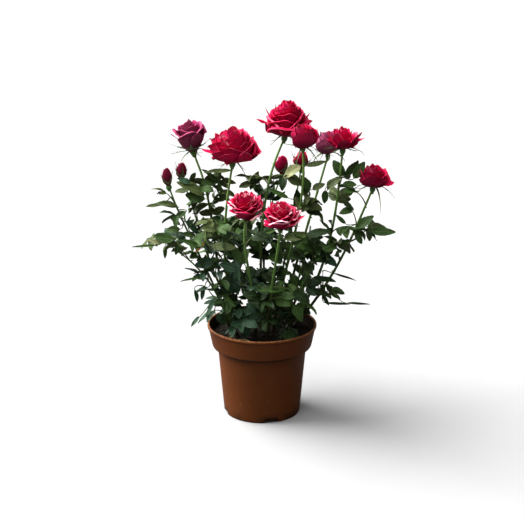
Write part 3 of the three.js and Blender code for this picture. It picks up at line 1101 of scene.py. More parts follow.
def catmull(points: np.ndarray, per_span: int) -> np.ndarray:
    """A smooth line through every point."""
    padded = np.concatenate([[2 * points[0] - points[1]], points, [2 * points[-1] - points[-2]]])
    t = np.linspace(0, 1, per_span, endpoint=False)[:, None]
    spans = [
        0.5
        * (2 * b + (c - a) * t + (2 * a - 5 * b + 4 * c - d) * t**2 + (3 * b - a - 3 * c + d) * t**3)
        for a, b, c, d in zip(padded, padded[1:], padded[2:], padded[3:])
    ]
    return np.concatenate([*spans, points[-1:]])


@dataclass
class Cane:
    """One cane of the frame, with its line and thickness read from the node's own rings."""

    name: str
    ring_gap: float = 0.006
    path: np.ndarray = field(init=False)
    radii: np.ndarray = field(init=False)

    def __post_init__(self) -> None:
        """Reads the rings along the line from foot to head."""
        points = node_points(self.name)
        low, high = points[points[:, 2].argmin()], points[points[:, 2].argmax()]
        along = points @ unit(high - low)
        order = np.argsort(along)
        cuts = np.where(np.diff(along[order]) > self.ring_gap)[0] + 1
        rings = [points[group] for group in np.split(order, cuts)]
        centres = np.array([ring.mean(0) for ring in rings])
        widths = np.array([np.linalg.norm(r - c, axis=1).max() for r, c in zip(rings, centres)])
        self.path = catmull(centres, 8)
        spots = np.linspace(0, 1, len(widths))
        self.radii = np.interp(np.linspace(0, 1, len(self.path)), spots, widths)

    def tangent(self, i: int) -> np.ndarray:
        """Its direction at one of its points."""
        a, b = max(i - 1, 0), min(i + 1, len(self.path) - 1)
        return unit(self.path[b] - self.path[a])


@dataclass
class CaneSet:
    """All the canes, as one mesh with the bark's relief, joints and prickles."""

    sides: int = 14
    node_spacing: float = 0.031
    node_swell: float = 0.16
    swell_width: float = 0.0022
    step_length: float = 0.0022
    rib_depth: float = 0.035
    prickle_length: float = 0.0026
    prickle_radii: tuple[float, ...] = (0.0009, 0.00055, 0.00028, 0.00006)
    prickle_spacing: float = 0.02
    seed: int = 23
    canes: list[Cane] = field(init=False)
    buffer: MeshBuffer = field(default_factory=MeshBuffer)
    rng: np.random.Generator = field(init=False)

    def __post_init__(self) -> None:
        """Reads every cane of the frame."""
        self.canes = [Cane(name) for name in node_names("cane_")]
        self.rng = np.random.default_rng(self.seed)

    def add_cane(self, cane: Cane) -> None:
        """Adds one cane's tube and prickles."""
        rng = self.rng
        steps = np.linalg.norm(np.diff(cane.path, axis=0), axis=1)
        run = np.concatenate([[0], np.cumsum(steps)])
        count = int(run[-1] / self.step_length)
        spots = np.linspace(0, run[-1], count)
        path = np.stack([np.interp(spots, run, cane.path[:, k]) for k in range(3)], -1)
        radii = np.interp(spots, run, cane.radii)
        offset = rng.uniform(0.3, 0.9) * self.node_spacing
        nodes = np.arange(offset, run[-1] - 0.02, self.node_spacing * rng.uniform(0.9, 1.15))
        near = np.abs(spots[:, None] - nodes[None, :]).min(1) if len(nodes) else np.full(count, 1.0)
        radii = radii * (1 + self.node_swell * np.exp(-((near / self.swell_width) ** 2)))
        turn = np.linspace(0, 2 * math.pi, self.sides, endpoint=False)
        ribs = 1 + self.rib_depth * np.sin(5 * turn[None, :] + spots[:, None] * 60 + rng.uniform(0, 6))
        rough = 1 + rng.normal(0, 0.018, (count, self.sides))
        self.buffer.add_tube(path, radii[:, None] * ribs * rough, self.sides)
        self.add_prickles(path, radii)

    def add_prickles(self, path: np.ndarray, radii: np.ndarray) -> None:
        """Adds the hooked prickles of one cane, given its line and its radius at each point."""
        rng = self.rng
        step = max(2, int(self.prickle_spacing / self.step_length))
        for i in range(step, len(path) - step, step):
            k = min(len(path) - 2, i + int(rng.integers(-3, 4)))
            tangent = unit(path[k + 1] - path[k - 1])
            out = square_to(tangent, rng.normal(0, 1, 3))
            base = path[k] + out * radii[k] * 0.8
            length = self.prickle_length * rng.uniform(0.6, 1.1)
            hook = bezier(
                [base, base + out * length * 0.7, base + out * length - tangent * length * 0.45], 4
            )
            self.buffer.add_tube(hook, np.array(self.prickle_radii), 5)

    def build(self) -> None:
        """Makes and dresses the canes."""
        for cane in self.canes:
            self.add_cane(cane)
        piece = self.buffer.build("canes", [StemFinish().material()], 60)
        settle(piece, "cane_bark", *[cane.name for cane in self.canes])


# ---------------------------------------------------------------- blooms


@dataclass(frozen=True)
class Petal:
    """One petal: a section from foot to rim, a rolled lip beyond it, and its outline."""

    azimuth: float
    rim: float
    rise: float
    lip: float
    reflex: float
    width: float
    base: float = 0.0
    foot: float = 0.0022
    belly: float = 1.0
    bulge: float = 1.0
    cup: float = 1.1
    droop: float = 0.25
    rounding: float = 2.4
    tip: float = 0.04
    taper: float = 0.0
    curl: float = 0.05
    ruffle: float = 0.03
    skew: float = 0.05
    variant: int = 0

    def body(self) -> tuple[np.ndarray, np.ndarray]:
        """Distance along the section from the foot, and the section's lean from upright there."""
        line = bezier(
            [
                (self.foot, self.base),
                (
                    mix(self.foot, self.rim, mix(0.4, 0.85, self.bulge)),
                    mix(self.base, self.rise, mix(0.28, 0.06, self.bulge)),
                ),
                (self.rim * self.belly, mix(self.base, self.rise, 0.6)),
                (self.rim, self.rise),
            ],
            33,
        )
        steps = np.diff(line, axis=0)
        run = np.concatenate([[0], np.cumsum(np.linalg.norm(steps, axis=1))])
        lean = np.arctan2(steps[:, 0], steps[:, 1])
        return run, np.interp(run, (run[1:] + run[:-1]) / 2, lean)

    def spine(self, outline: np.ndarray) -> tuple[np.ndarray, np.ndarray, np.ndarray]:
        """Lines from foot to rim, one for each place across the petal.

        Args:
            outline: The length of each line, as a share of the middle one's.

        Returns:
            Shares along the lines, and the radius and height of every point.
        """
        run, lean = self.body()
        reach = (run[-1] + self.lip) * outline
        fine = np.linspace(0, 1, 57)[:, None]
        gone = fine * reach
        turn_at = reach - self.lip
        angle = np.interp(np.minimum(gone, turn_at).ravel(), run, lean).reshape(gone.shape)
        angle = angle + self.reflex * np.clip((gone - turn_at) / self.lip, 0, 1) ** 1.15
        middle = (angle[1:] + angle[:-1]) / 2
        gap = reach / (len(fine) - 1)
        still = np.zeros((1, outline.shape[1]))
        far = self.foot + np.concatenate([still, np.cumsum(np.sin(middle) * gap, 0)])
        high = self.base + np.concatenate([still, np.cumsum(np.cos(middle) * gap, 0)])
        return fine, far, high

    def aimed(self, far: float, high: float) -> "Petal":
        """The same petal, with its tip brought to a radius and a height."""
        petal = self
        for _ in range(6):
            _, reached, risen = petal.spine(np.array([[1 + petal.tip]]))
            rim = max(0.12 * far, petal.rim + 0.8 * (far - reached[-1, 0]))
            petal = replace(petal, rim=rim, rise=petal.rise + 0.8 * (high - risen[-1, 0]))
        return petal

    def grid(self, rng: np.random.Generator, rows: int = 18, columns: int = 15) -> np.ndarray:
        """The petal's inner face.

        Args:
            rng: The source of its ruffles.
            rows: Steps along.
            columns: Steps across.

        Returns:
            Points by step along, step across and axis, the bloom's axis upright.
        """
        u = np.linspace(-1, 1, columns)[None, :]
        edge = np.abs(u)
        phase = rng.uniform(0, 6.28, 4)
        nicks = 0.02 * np.sin(u * 6.5 + phase[2]) + 0.012 * np.sin(u * 13 + phase[3])
        rounded_off = self.droop * edge**self.rounding
        fine, far, high = self.spine(1 - rounded_off + self.tip * (1 - edge) ** 2 + nicks)
        picks = np.round(np.linspace(0, 1, rows) ** 0.62 * (len(fine) - 1)).astype(int)
        s, far, high = fine[picks], far[picks], high[picks]
        swell = mix(0.26, 1.0, smoothstep(0, 0.62, s)) * (1 - self.taper * smoothstep(0.35, 1.0, s))
        x = u * self.width / 2 * swell
        reference = np.minimum(far[:, columns // 2, None], self.rim)
        around = self.cup * np.maximum(reference, 0.3 * self.rim) + 0.0008
        turned = 2.4 * np.tanh(x / around / 2.4)
        waves = np.sin(u * 3.2 + s * 2.0 + phase[0]) + 0.6 * np.sin(u * 6.1 - s * 5.0 + phase[1])
        flare = self.curl * smoothstep(0.45, 1, edge) * smoothstep(0.3, 0.9, s)
        flare = flare + self.ruffle * waves * s**2 * (0.4 + 0.6 * edge)
        flare = flare + self.skew * u * smoothstep(0, 0.5, s)
        out_from = far - reference + around + self.width * flare
        outwards = reference - around + out_from * np.cos(turned)
        sideways = out_from * np.sin(turned)
        out, side = spoke(self.azimuth)
        return outwards[..., None] * out - sideways[..., None] * side + high[..., None] * UP


Span = tuple[float, float]


@dataclass(frozen=True)
class Habit:
    """How a bloom's petals are set; pairs run from the innermost to the outermost."""

    petals: int
    spread: Span
    drop: float
    reflex: Span
    lip: Span
    width: Span
    belly: Span = (1.2, 1.0)
    bulge: Span = (1.0, 0.9)
    droop: Span = (0.2, 0.3)
    tip: Span = (0.03, 0.05)
    taper: Span = (0.0, 0.0)
    turn: float = 137.5
    ruffle: float = 0.025


class BloomForm(Enum):
    """The stages of opening that the bush carries."""

    DOME = Habit(32, (0.06, 0.74), 0.6, (8, 125), (0.05, 0.26), (0.65, 1.8), (1.15, 0.85), turn=144.0)
    SPIKED = Habit(
        36, (0.07, 0.78), 0.46, (8, 85), (0.05, 0.16), (0.5, 1.5), (1.1, 1.0),
        droop=(0.34, 0.2), tip=(0.08, 0.05)
    )
    FUNNEL = Habit(
        18, (0.12, 0.84), 0.2, (20, 120), (0.06, 0.26), (0.8, 1.7), (1.0, 0.62), (0.7, 0.1), tip=(0.08, 0.05)
    )
    GOBLET = Habit(
        16, (0.1, 0.8), 0.12, (8, 70), (0.05, 0.13), (0.9, 1.9), (1.25, 1.15), (1, 1),
        tip=(0.1, 0.08)
    )
    STAR = Habit(
        18,
        (0.08, 0.74),
        0.42,
        (8, 30),
        (0.06, 0.26),
        (0.6, 1.35),
        (1.1, 0.66),
        (1, 0.5),
        droop=(0.3, 0.5),
        tip=(0.1, 0.26),
        taper=(0.0, 0.4),
    )
    CUP = Habit(
        18, (0.08, 0.76), 0.36, (8, 70), (0.05, 0.2), (0.7, 1.6), (1.15, 0.85),
        droop=(0.25, 0.36), tip=(0.06, 0.12)
    )
    FLAT = Habit(
        54,
        (0.05, 0.84),
        0.44,
        (20, 66),
        (0.08, 0.22),
        (0.4, 1.05),
        (0.95, 0.6),
        (0.8, 0.3),
        (0.3, 0.3),
        (0.06, 0.06),
        ruffle=0.05,
    )
    CLOSED = Habit(8, (0.1, 0.62), 0.05, (0, 20), (0.05, 0.1), (1.5, 2.2), (1.6, 1.5), droop=(0.4, 0.5))


@dataclass(frozen=True)
class Accent:
    """A petal that stands out from the rest: where its tip reaches, in shares of the bloom."""

    azimuth: float
    reach: float
    rise: float
    width: float
    lip: float = 0.45
    reflex: float = 60.0
    tip: float = 0.3
    taper: float = 0.8
    belly: float = 0.6
    streaked: bool = False


@dataclass(frozen=True)
class BloomPlan:
    """What one bloom or bud looks like."""

    place: str
    form: BloomForm
    tone: PetalTone
    seed: int
    accents: tuple[Accent, ...] = ()
    sepal_length: float = 0.02
    lift: float = 0.0
    calyx: float = 1.0
    calyx_seat: float = 0.28
    fullness: float = 1.0
    breadth: float = 1.0


BLOOM_PLANS = (
    BloomPlan(
        "top", BloomForm.DOME, PetalTone.CRIMSON, 3,
        (
            Accent(182, 1.3, 0.36, 0.7, 0.5, 40, 0.25, 0.75),
            Accent(168, 1.0, 0.68, 0.7, 0.4, 20, 0.2, 0.7, 0.8),
            Accent(150, 0.68, 0.84, 0.6, 0.3, 10, 0.15, 0.6, 0.9),
            Accent(-2, 1.08, 0.58, 0.7, 0.35, 80, 0.2, 0.7),
            Accent(14, 0.92, 0.74, 0.6, 0.35, 20, 0.2, 0.75, 0.8),
            Accent(-128, 0.9, 0.34, 1.4, 0.26, 70, 0.06, 0.1),
            Accent(-22, 0.7, 0.84, 1.0, 0.2, 50, 0.08, 0.1, 0.95, True),
        ),
        lift=0.003,
    ),
    BloomPlan(
        "top_right", BloomForm.GOBLET, PetalTone.WINE, 5,
        (
            Accent(3, 1.0, 0.98, 0.9, 0.2, 10, 0.12, 0.3, 1.0),
            Accent(-86, 0.86, 0.84, 1.7, 0.1, 50, 0.04, 0.0, 1.1),
        ),
    ),
    BloomPlan(
        "left", BloomForm.SPIKED, PetalTone.BRUSHED, 8,
        (
            Accent(-12, 1.1, 0.4, 0.7, 0.35, 15, 0.2, 0.7),
            Accent(4, 0.86, 0.66, 0.6, 0.25, 40, 0.15, 0.6, 0.8),
            Accent(20, 0.76, 0.84, 0.6, 0.2, 20, 0.15, 0.5, 0.9),
            Accent(184, 1.16, 0.34, 0.9, 0.35, 30, 0.12, 0.5),
            Accent(-142, 0.84, 0.2, 0.9, 0.3, 60, 0.1, 0.3, 0.8),
            Accent(-62, 0.76, 0.56, 1.7, 0.12, 100, 0.03, 0.0, 1.05),
            Accent(-112, 0.72, 0.6, 1.4, 0.12, 80, 0.03, 0.0, 1.05),
            Accent(-126, 0.62, 0.8, 0.7, 0.12, 40, 0.04, 0.0, 1.0, True),
        ),
        lift=0.003,
    ),
    BloomPlan(
        "left_rear", BloomForm.FUNNEL, PetalTone.MAUVE, 13,
        (
            Accent(180, 1.24, 0.78, 0.6, 0.4, 20, 0.2, 0.7, 0.6),
            Accent(2, 1.0, 0.7, 0.7, 0.3, 50, 0.15, 0.5, 0.6),
            Accent(-84, 0.8, 0.66, 2.0, 0.2, 120, 0.03, 0.0, 0.6),
        ),
        sepal_length=0.024, lift=0.003,
        calyx=1.5, calyx_seat=0.72, fullness=0.9,
    ),
    BloomPlan("right_rear", BloomForm.GOBLET, PetalTone.MAUVE, 21, lift=0.003),
    BloomPlan(
        "right", BloomForm.STAR, PetalTone.CRIMSON, 34,
        (
            Accent(175, 0.8, 0.98, 0.6, 0.35, 0, 0.2, 0.7, 0.9),
            Accent(-3, 1.04, 0.74, 0.9, 0.4, 10, 0.2, 0.6),
            Accent(-165, 1.02, 0.6, 1.0, 0.3, 20, 0.2, 0.5),
            Accent(18, 0.72, 0.98, 0.6, 0.35, 0, 0.2, 0.6, 0.9),
            Accent(-80, 0.44, 0.9, 0.9, 0.1, 40, 0.08, 0.1, 1.1, True),
        ),
        sepal_length=0.026, lift=0.002,
    ),
    BloomPlan(
        "far_right", BloomForm.CUP, PetalTone.WINE, 55,
        (
            Accent(178, 0.9, 0.8, 0.7, 0.35, 10, 0.2, 0.7, 0.8),
            Accent(-6, 1.18, 0.36, 1.2, 0.34, 60, 0.1, 0.2),
            Accent(-100, 0.72, 0.72, 1.7, 0.12, 50, 0.05, 0.0, 1.05),
            Accent(-28, 0.7, 0.7, 1.0, 0.16, 60, 0.06, 0.0, 1.0, True),
        ),
        sepal_length=0.024, lift=0.003,
    ),
    BloomPlan(
        "front_left", BloomForm.FLAT, PetalTone.STREAKED, 89,
        (
            Accent(-38, 1.04, 0.34, 1.1, 0.22, 130, 0.02, 0.0, 0.8, True),
            Accent(180, 1.12, 0.7, 0.9, 0.3, 30, 0.1, 0.4),
            Accent(-160, 0.98, 0.4, 0.9, 0.3, 40, 0.1, 0.3),
            Accent(-90, 0.86, 0.46, 1.3, 0.16, 80, 0.03, 0.0, 0.8, True),
        ),
        lift=0.002,
    ),
    BloomPlan(
        "front_right", BloomForm.FLAT, PetalTone.STREAKED, 144,
        (
            Accent(-92, 1.0, 0.48, 1.3, 0.22, 130, 0.02, 0.0, 0.8, True),
            Accent(-155, 1.02, 0.3, 1.2, 0.3, 60, 0.08, 0.2),
            Accent(-168, 0.98, 0.14, 0.9, 0.3, 60, 0.08, 0.2),
            Accent(0, 1.34, 0.58, 0.8, 0.34, 20, 0.12, 0.4),
            Accent(-22, 1.24, 0.5, 1.0, 0.3, 50, 0.08, 0.2, 0.65, True),
            Accent(16, 1.14, 0.7, 0.9, 0.3, 30, 0.1, 0.3, 0.65, True),
            Accent(-46, 1.1, 0.42, 1.0, 0.3, 60, 0.08, 0.2, 0.65),
        ),
        lift=0.001,
    ),
)

BUD_PLANS = (
    BloomPlan("far_left_bud", BloomForm.CLOSED, PetalTone.DUSK, 7, sepal_length=0.02, breadth=0.76),
    BloomPlan("left_bud", BloomForm.CLOSED, PetalTone.DUSK, 9, sepal_length=0.016, breadth=0.82),
    BloomPlan("rear_left_bud", BloomForm.CLOSED, PetalTone.CRIMSON, 10, sepal_length=0.016),
    BloomPlan("rear_right_bud", BloomForm.CLOSED, PetalTone.CRIMSON, 12, sepal_length=0.016),
)


@dataclass
class Bloom:
    """One bloom or bud: its petals round the axis that its cane and its node give it."""

    plan: BloomPlan
    cane: Cane
    node: str
    slot: str
    thickness: float = 0.00035
    uprightness: float = 0.35
    least_height: float = 0.6
    origin: np.ndarray = field(init=False)
    axis: np.ndarray = field(init=False)
    radius: float = field(init=False)
    height: float = field(init=False)

    def __post_init__(self) -> None:
        """Reads the bloom's place and size from its node."""
        low, high = (np.array(c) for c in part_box(self.node))
        head = self.cane.path[-1]
        self.axis = unit(unit((low + high) / 2 - head) + self.uprightness * UP)
        self.origin = head + self.axis * self.plan.lift
        self.radius = float((high - low)[:2].mean() / 2) * self.plan.breadth
        risen = max(float(high[2] - self.origin[2]), self.least_height * self.radius)
        self.height = risen * self.plan.fullness

    def turned(self, points: np.ndarray) -> np.ndarray:
        """Points about an upright axis, set on this bloom's own axis."""
        side = square_to(self.axis, np.array([1.0, 0, 0]))
        other = np.cross(self.axis, side)
        return self.origin + points @ np.stack([side, other, self.axis])

    def petals(self, rng: np.random.Generator) -> list[Petal]:
        """All its petals, from the innermost out."""
        habit, made = self.plan.form.value, []
        for i in range(habit.petals):
            t = i / (habit.petals - 1)
            jitter = rng.normal(0, 1, 5)
            made.append(
                Petal(
                    azimuth=math.radians(-90 + (habit.petals - 1 - i) * habit.turn + 7 * jitter[1]),
                    rim=self.radius * mix(*habit.spread, t**0.85),
                    rise=self.height * (0.97 - habit.drop * t**1.5) * (1 + 0.025 * jitter[0]),
                    lip=self.radius * mix(*habit.lip, t) * (1 + 0.15 * jitter[2]),
                    reflex=math.radians(mix(*habit.reflex, t**0.8) + 10 * jitter[3] * t),
                    width=self.radius * mix(*habit.width, t),
                    base=0.1 * self.height * (1 - t),
                    belly=mix(*habit.belly, t),
                    bulge=mix(*habit.bulge, t),
                    cup=mix(1.0, 1.3, t),
                    droop=mix(*habit.droop, t),
                    tip=max(0.0, mix(*habit.tip, t) * (1 + 0.5 * jitter[4])),
                    taper=mix(*habit.taper, t),
                    ruffle=habit.ruffle,
                    variant=int(rng.choice(SHEET_COLUMNS, p=(0.3, 0.26, 0.26, 0.18))),
                )
            )
        for accent in self.plan.accents:
            reach, rise = accent.reach * self.radius, accent.rise * self.height
            lip = accent.lip * self.radius
            petal = Petal(
                azimuth=math.radians(accent.azimuth),
                rim=reach - 0.8 * lip,
                rise=rise,
                lip=lip,
                reflex=math.radians(accent.reflex),
                width=accent.width * self.radius,
                belly=accent.belly,
                bulge=0.7,
                tip=accent.tip,
                taper=accent.taper,
                droop=mix(0.2, 0.5, accent.taper),
                curl=mix(0.03, 0.16, accent.taper),
                cup=1.2,
                variant=SHEET_COLUMNS - 1 if accent.streaked else 0,
            )
            made.append(petal.aimed(reach, rise))
        return made

    def build(self) -> None:
        """Makes and dresses the petals."""
        rng = np.random.default_rng(self.plan.seed)
        buffer = MeshBuffer()
        for petal in self.petals(rng):
            grid = self.turned(petal.grid(rng))
            buffer.add_shell(grid, self.thickness, petal.variant)
        name = self.node.replace("bloom_", "petals_")
        piece = buffer.build(name + ("_petals" if "bud" in name else ""), self.plan.tone.value.materials())
        settle(piece, self.slot, self.node)


@dataclass
class Calyces:
    """The hips and the thin curling sepals under every bloom and bud."""

    blooms: list[Bloom]
    hip_radius: float = 0.0036
    hip_height: float = 0.0085
    sepals: int = 5
    sepal_width: float = 0.0024
    sepal_thickness: float = 0.0003
    snug: float = 0.74
    loose: float = 1.12
    spur_chance: float = 0.6
    seed: int = 31
    buffer: MeshBuffer = field(default_factory=MeshBuffer)
    rng: np.random.Generator = field(init=False)

    def __post_init__(self) -> None:
        """Seeds the source of every curl."""
        self.rng = np.random.default_rng(self.seed)

    def add_hip(self, bloom: Bloom, scale: float) -> None:
        """Adds the small green hip under a bloom, at a size against a full bloom's."""
        shares = np.linspace(0, 1, 9)
        outline = np.array([0.5, 0.56, 0.74, 0.93, 1.0, 0.97, 0.86, 0.8, 0.84])
        height = self.hip_height * scale + bloom.plan.lift
        low = bloom.origin - bloom.axis * (height - bloom.plan.calyx_seat * self.hip_height * scale)
        path = low + shares[:, None] * bloom.axis * height
        self.buffer.add_tube(path, outline * self.hip_radius * scale, 12, 1)

    def add_sepal(self, bloom: Bloom, turn: float, length: float, closed: bool) -> None:
        """Adds one sepal with the thin spurs along its sides.

        Args:
            bloom: The bloom it sits under.
            turn: Its angle round the axis.
            length: Its length.
            closed: Whether it hugs a bud.
        """
        rng = self.rng
        side = square_to(bloom.axis, np.array([1.0, 0, 0]))
        out = side * math.cos(turn) + np.cross(bloom.axis, side) * math.sin(turn)
        axis = bloom.axis
        start = bloom.origin + axis * 0.0012 + out * self.hip_radius * (0.6 if closed else 0.75)
        sway = np.cross(axis, out) * rng.normal(0, 0.2)
        if closed:
            full = bloom.radius * (self.snug if bloom.plan.calyx > 1 else self.loose)
            corners = [
                start,
                bloom.origin + out * full * 0.9 + axis * length * 0.2,
                bloom.origin + out * full * 1.1 + axis * length * 0.6,
                bloom.origin + (out * rng.uniform(0.8, 2.2) * full) + (axis + sway * 0.5) * length,
            ]
        else:
            droop = rng.uniform(-0.15, 0.75)
            corners = [
                start,
                start + (out * 0.42 + sway * 0.4) * length,
                start + (out * 0.75 - axis * droop * 0.6 + sway) * length,
                start + (out * rng.uniform(0.7, 1.05) - axis * droop + sway * 1.6) * length,
            ]
        path = bezier(corners, 10)
        if closed:
            widths = 0.95 * full * np.array([0.6, 0.95, 1.0, 0.86, 0.6, 0.34, 0.2, 0.13, 0.09, 0.05])
            self.add_blade(path, widths, out, -0.2)
        else:
            widths = self.sepal_width * np.array([0.8, 1.0, 0.96, 0.8, 0.62, 0.46, 0.34, 0.25, 0.18, 0.1])
            self.add_blade(path, widths, axis)
        for k in (2, 3, 4, 5):
            if rng.random() < self.spur_chance:
                way = unit(np.gradient(path, axis=0)[k])
                away = np.cross(way, axis) * rng.choice([-1.0, 1.0])
                reach = length * rng.uniform(0.16, 0.36)
                bend = path[k] + (away + way * 0.4) * reach * 0.5
                spur = bezier([path[k], bend, path[k] + (away + way * 1.1) * reach * 0.8], 5)
                self.add_blade(spur, np.array([0.7, 0.5, 0.36, 0.24, 0.12]) * MM, axis)

    def add_blade(
        self, path: np.ndarray, widths: np.ndarray, face: np.ndarray, trough: float = 0.22
    ) -> None:
        """Adds a narrow blade along a path.

        Args:
            path: Its middle line.
            widths: Its width at each point.
            face: Roughly which way its face looks.
            trough: How far its edges rise towards the face, against its width.
        """
        ways = np.gradient(path, axis=0)
        rows = []
        for point, way, width in zip(path, ways, widths):
            normal = square_to(unit(way), face)
            across = np.cross(unit(way), normal)
            rows.append([
                point + across * width * x / 2 + normal * width * trough * abs(x)
                for x in (-1, -0.4, 0.4, 1)
            ])
        self.buffer.add_shell(np.array(rows), self.sepal_thickness, 0, (0, 0))

    def build(self) -> None:
        """Makes and dresses the hips and sepals."""
        for bloom in self.blooms:
            closed = bloom.plan.form is BloomForm.CLOSED
            usual = 0.9 if closed else min(1.0, 0.55 + 18 * bloom.radius)
            self.add_hip(bloom, usual * bloom.plan.calyx)
            start = self.rng.uniform(0, 6.28)
            if bloom.plan.calyx > 1:
                for i in range(self.sepals):
                    turn = start + (i + 0.5) * 2 * math.pi / self.sepals
                    self.add_sepal(bloom, turn, 0.5 * bloom.height, True)
            for i in range(self.sepals):
                turn = start + i * 2 * math.pi / self.sepals + self.rng.normal(0, 0.15)
                length = bloom.plan.sepal_length * self.rng.uniform(0.8, 1.25)
                self.add_sepal(bloom, turn, length, closed)
        sepal = LeafFinish(
            "sepal", srgb(112, 128, 84), srgb(70, 86, 50), srgb(128, 142, 104), srgb(146, 156, 116)
        )
        hip = StemFinish(
            "hip_skin", srgb(58, 92, 48), srgb(62, 96, 46), srgb(92, 138, 60), srgb(84, 92, 56)
        )
        piece = self.buffer.build("sepals_and_hips", [sepal.materials()[0], hip.material()])
        settle(piece, "leaves")


# ---------------------------------------------------------------- foliage


@dataclass(frozen=True)
class MassPlan:
    """How one mass of leaves is filled: its tones, how thickly, how slim, and how far it hangs down."""

    tones: tuple[LeafTone, ...]
    fullness: float = 1.0
    slimness: float = 0.54
    hang: float = 0.0
    fills_tips: bool = True


DEEP, MID, BLUE, OLIVE, LIME, PALE, GOLD = LeafTone

MASS_PLANS = {
    "upper_left": MassPlan((OLIVE, MID), 0.9),
    "upper_left_fan": MassPlan((OLIVE, OLIVE, MID), 1.0, 0.42),
    "left_wing": MassPlan((OLIVE, MID), 0.5, 0.4),
    "left": MassPlan((MID, OLIVE, BLUE), 0.38),
    "far_left": MassPlan((MID, OLIVE), 0.35, fills_tips=False),
    "left_front": MassPlan((OLIVE, MID, DEEP), 0.85),
    "left_low": MassPlan((BLUE, MID), 0.9, 0.44, fills_tips=False),
    "left_droop": MassPlan((BLUE, BLUE, MID), 0.45, 0.36, fills_tips=False),
    "centre_left": MassPlan((DEEP, OLIVE, MID), 1.1),
    "upper_centre": MassPlan((OLIVE, MID, OLIVE, DEEP), 2.0, 0.42),
    "centre": MassPlan((DEEP, MID, DEEP), 1.1),
    "centre_low_left": MassPlan((DEEP, BLUE, MID), 1.4, hang=0.024),
    "centre_low_right": MassPlan((DEEP, MID, DEEP), 1.2, hang=0.018),
    "tall_right": MassPlan((MID, OLIVE, DEEP), 1.0),
    "under_bloom": MassPlan((DEEP, DEEP, MID), 1.1),
    "right_centre": MassPlan((MID, MID, DEEP), 0.22),
    "upper_right": MassPlan((MID, OLIVE), 0.8),
    "right_node": MassPlan((MID, OLIVE), 0.1, fills_tips=False),
    "far_right": MassPlan((MID, OLIVE), 0.05, fills_tips=False),
    "right_leaf": MassPlan((MID, BLUE), 0.2),
    "right_skirt": MassPlan((MID, DEEP), 0.35, 0.44, fills_tips=False),
    "skirt_right": MassPlan((DEEP, DEEP, MID), 1.0, hang=0.01),
    "skirt_front_left": MassPlan((DEEP, MID, BLUE), 1.7, hang=0.02, fills_tips=False),
    "skirt_front_right": MassPlan((DEEP, MID, DEEP), 1.7, hang=0.018, fills_tips=False),
    "rear_left": MassPlan((MID, DEEP), 0.7),
    "rear_right": MassPlan((MID, DEEP), 0.35),
    "rear_centre": MassPlan((DEEP, MID), 0.6),
    "rear_low": MassPlan((DEEP, DEEP, MID), 0.8),
}


class Cut(Enum):
    """Cuts of single leaf: length in metres, and width against length."""

    LARGE = (0.034, 0.42)
    OVAL = (0.028, 0.36)
    BROAD = (0.022, 0.56)
    LONG = (0.03, 0.22)
    NARROW = (0.023, 0.28)
    SMALL = (0.015, 0.52)
    SLIP = (0.015, 0.34)
    BLADE = (0.027, 0.11)


LARGE, OVAL, BROAD, LONG, NARROW, SMALL, SLIP, BLADE = Cut


@dataclass(frozen=True)
class OutlineLeaf:
    """A single leaf that gives the bush its outline, set inside a mass's box.

    Its foot lies `across` and `up` from the box's middle, -1 and 1 being the box's sides. It
    points to `hour` on a clock face seen from the front.
    """

    across: float
    up: float
    hour: float
    cut: Cut
    tone: LeafTone

    def foot(self, low: np.ndarray, high: np.ndarray) -> np.ndarray:
        """Where it starts, a little in front of the middle of a box."""
        middle, half = (low + high) / 2, (high - low) / 2
        return middle + half * np.array([self.across, -0.3, self.up])

    def way(self) -> np.ndarray:
        """The way it points, leaning a little forward."""
        turn = math.radians(90 - 30 * self.hour)
        return unit(np.array([math.cos(turn), -0.12, math.sin(turn)]))


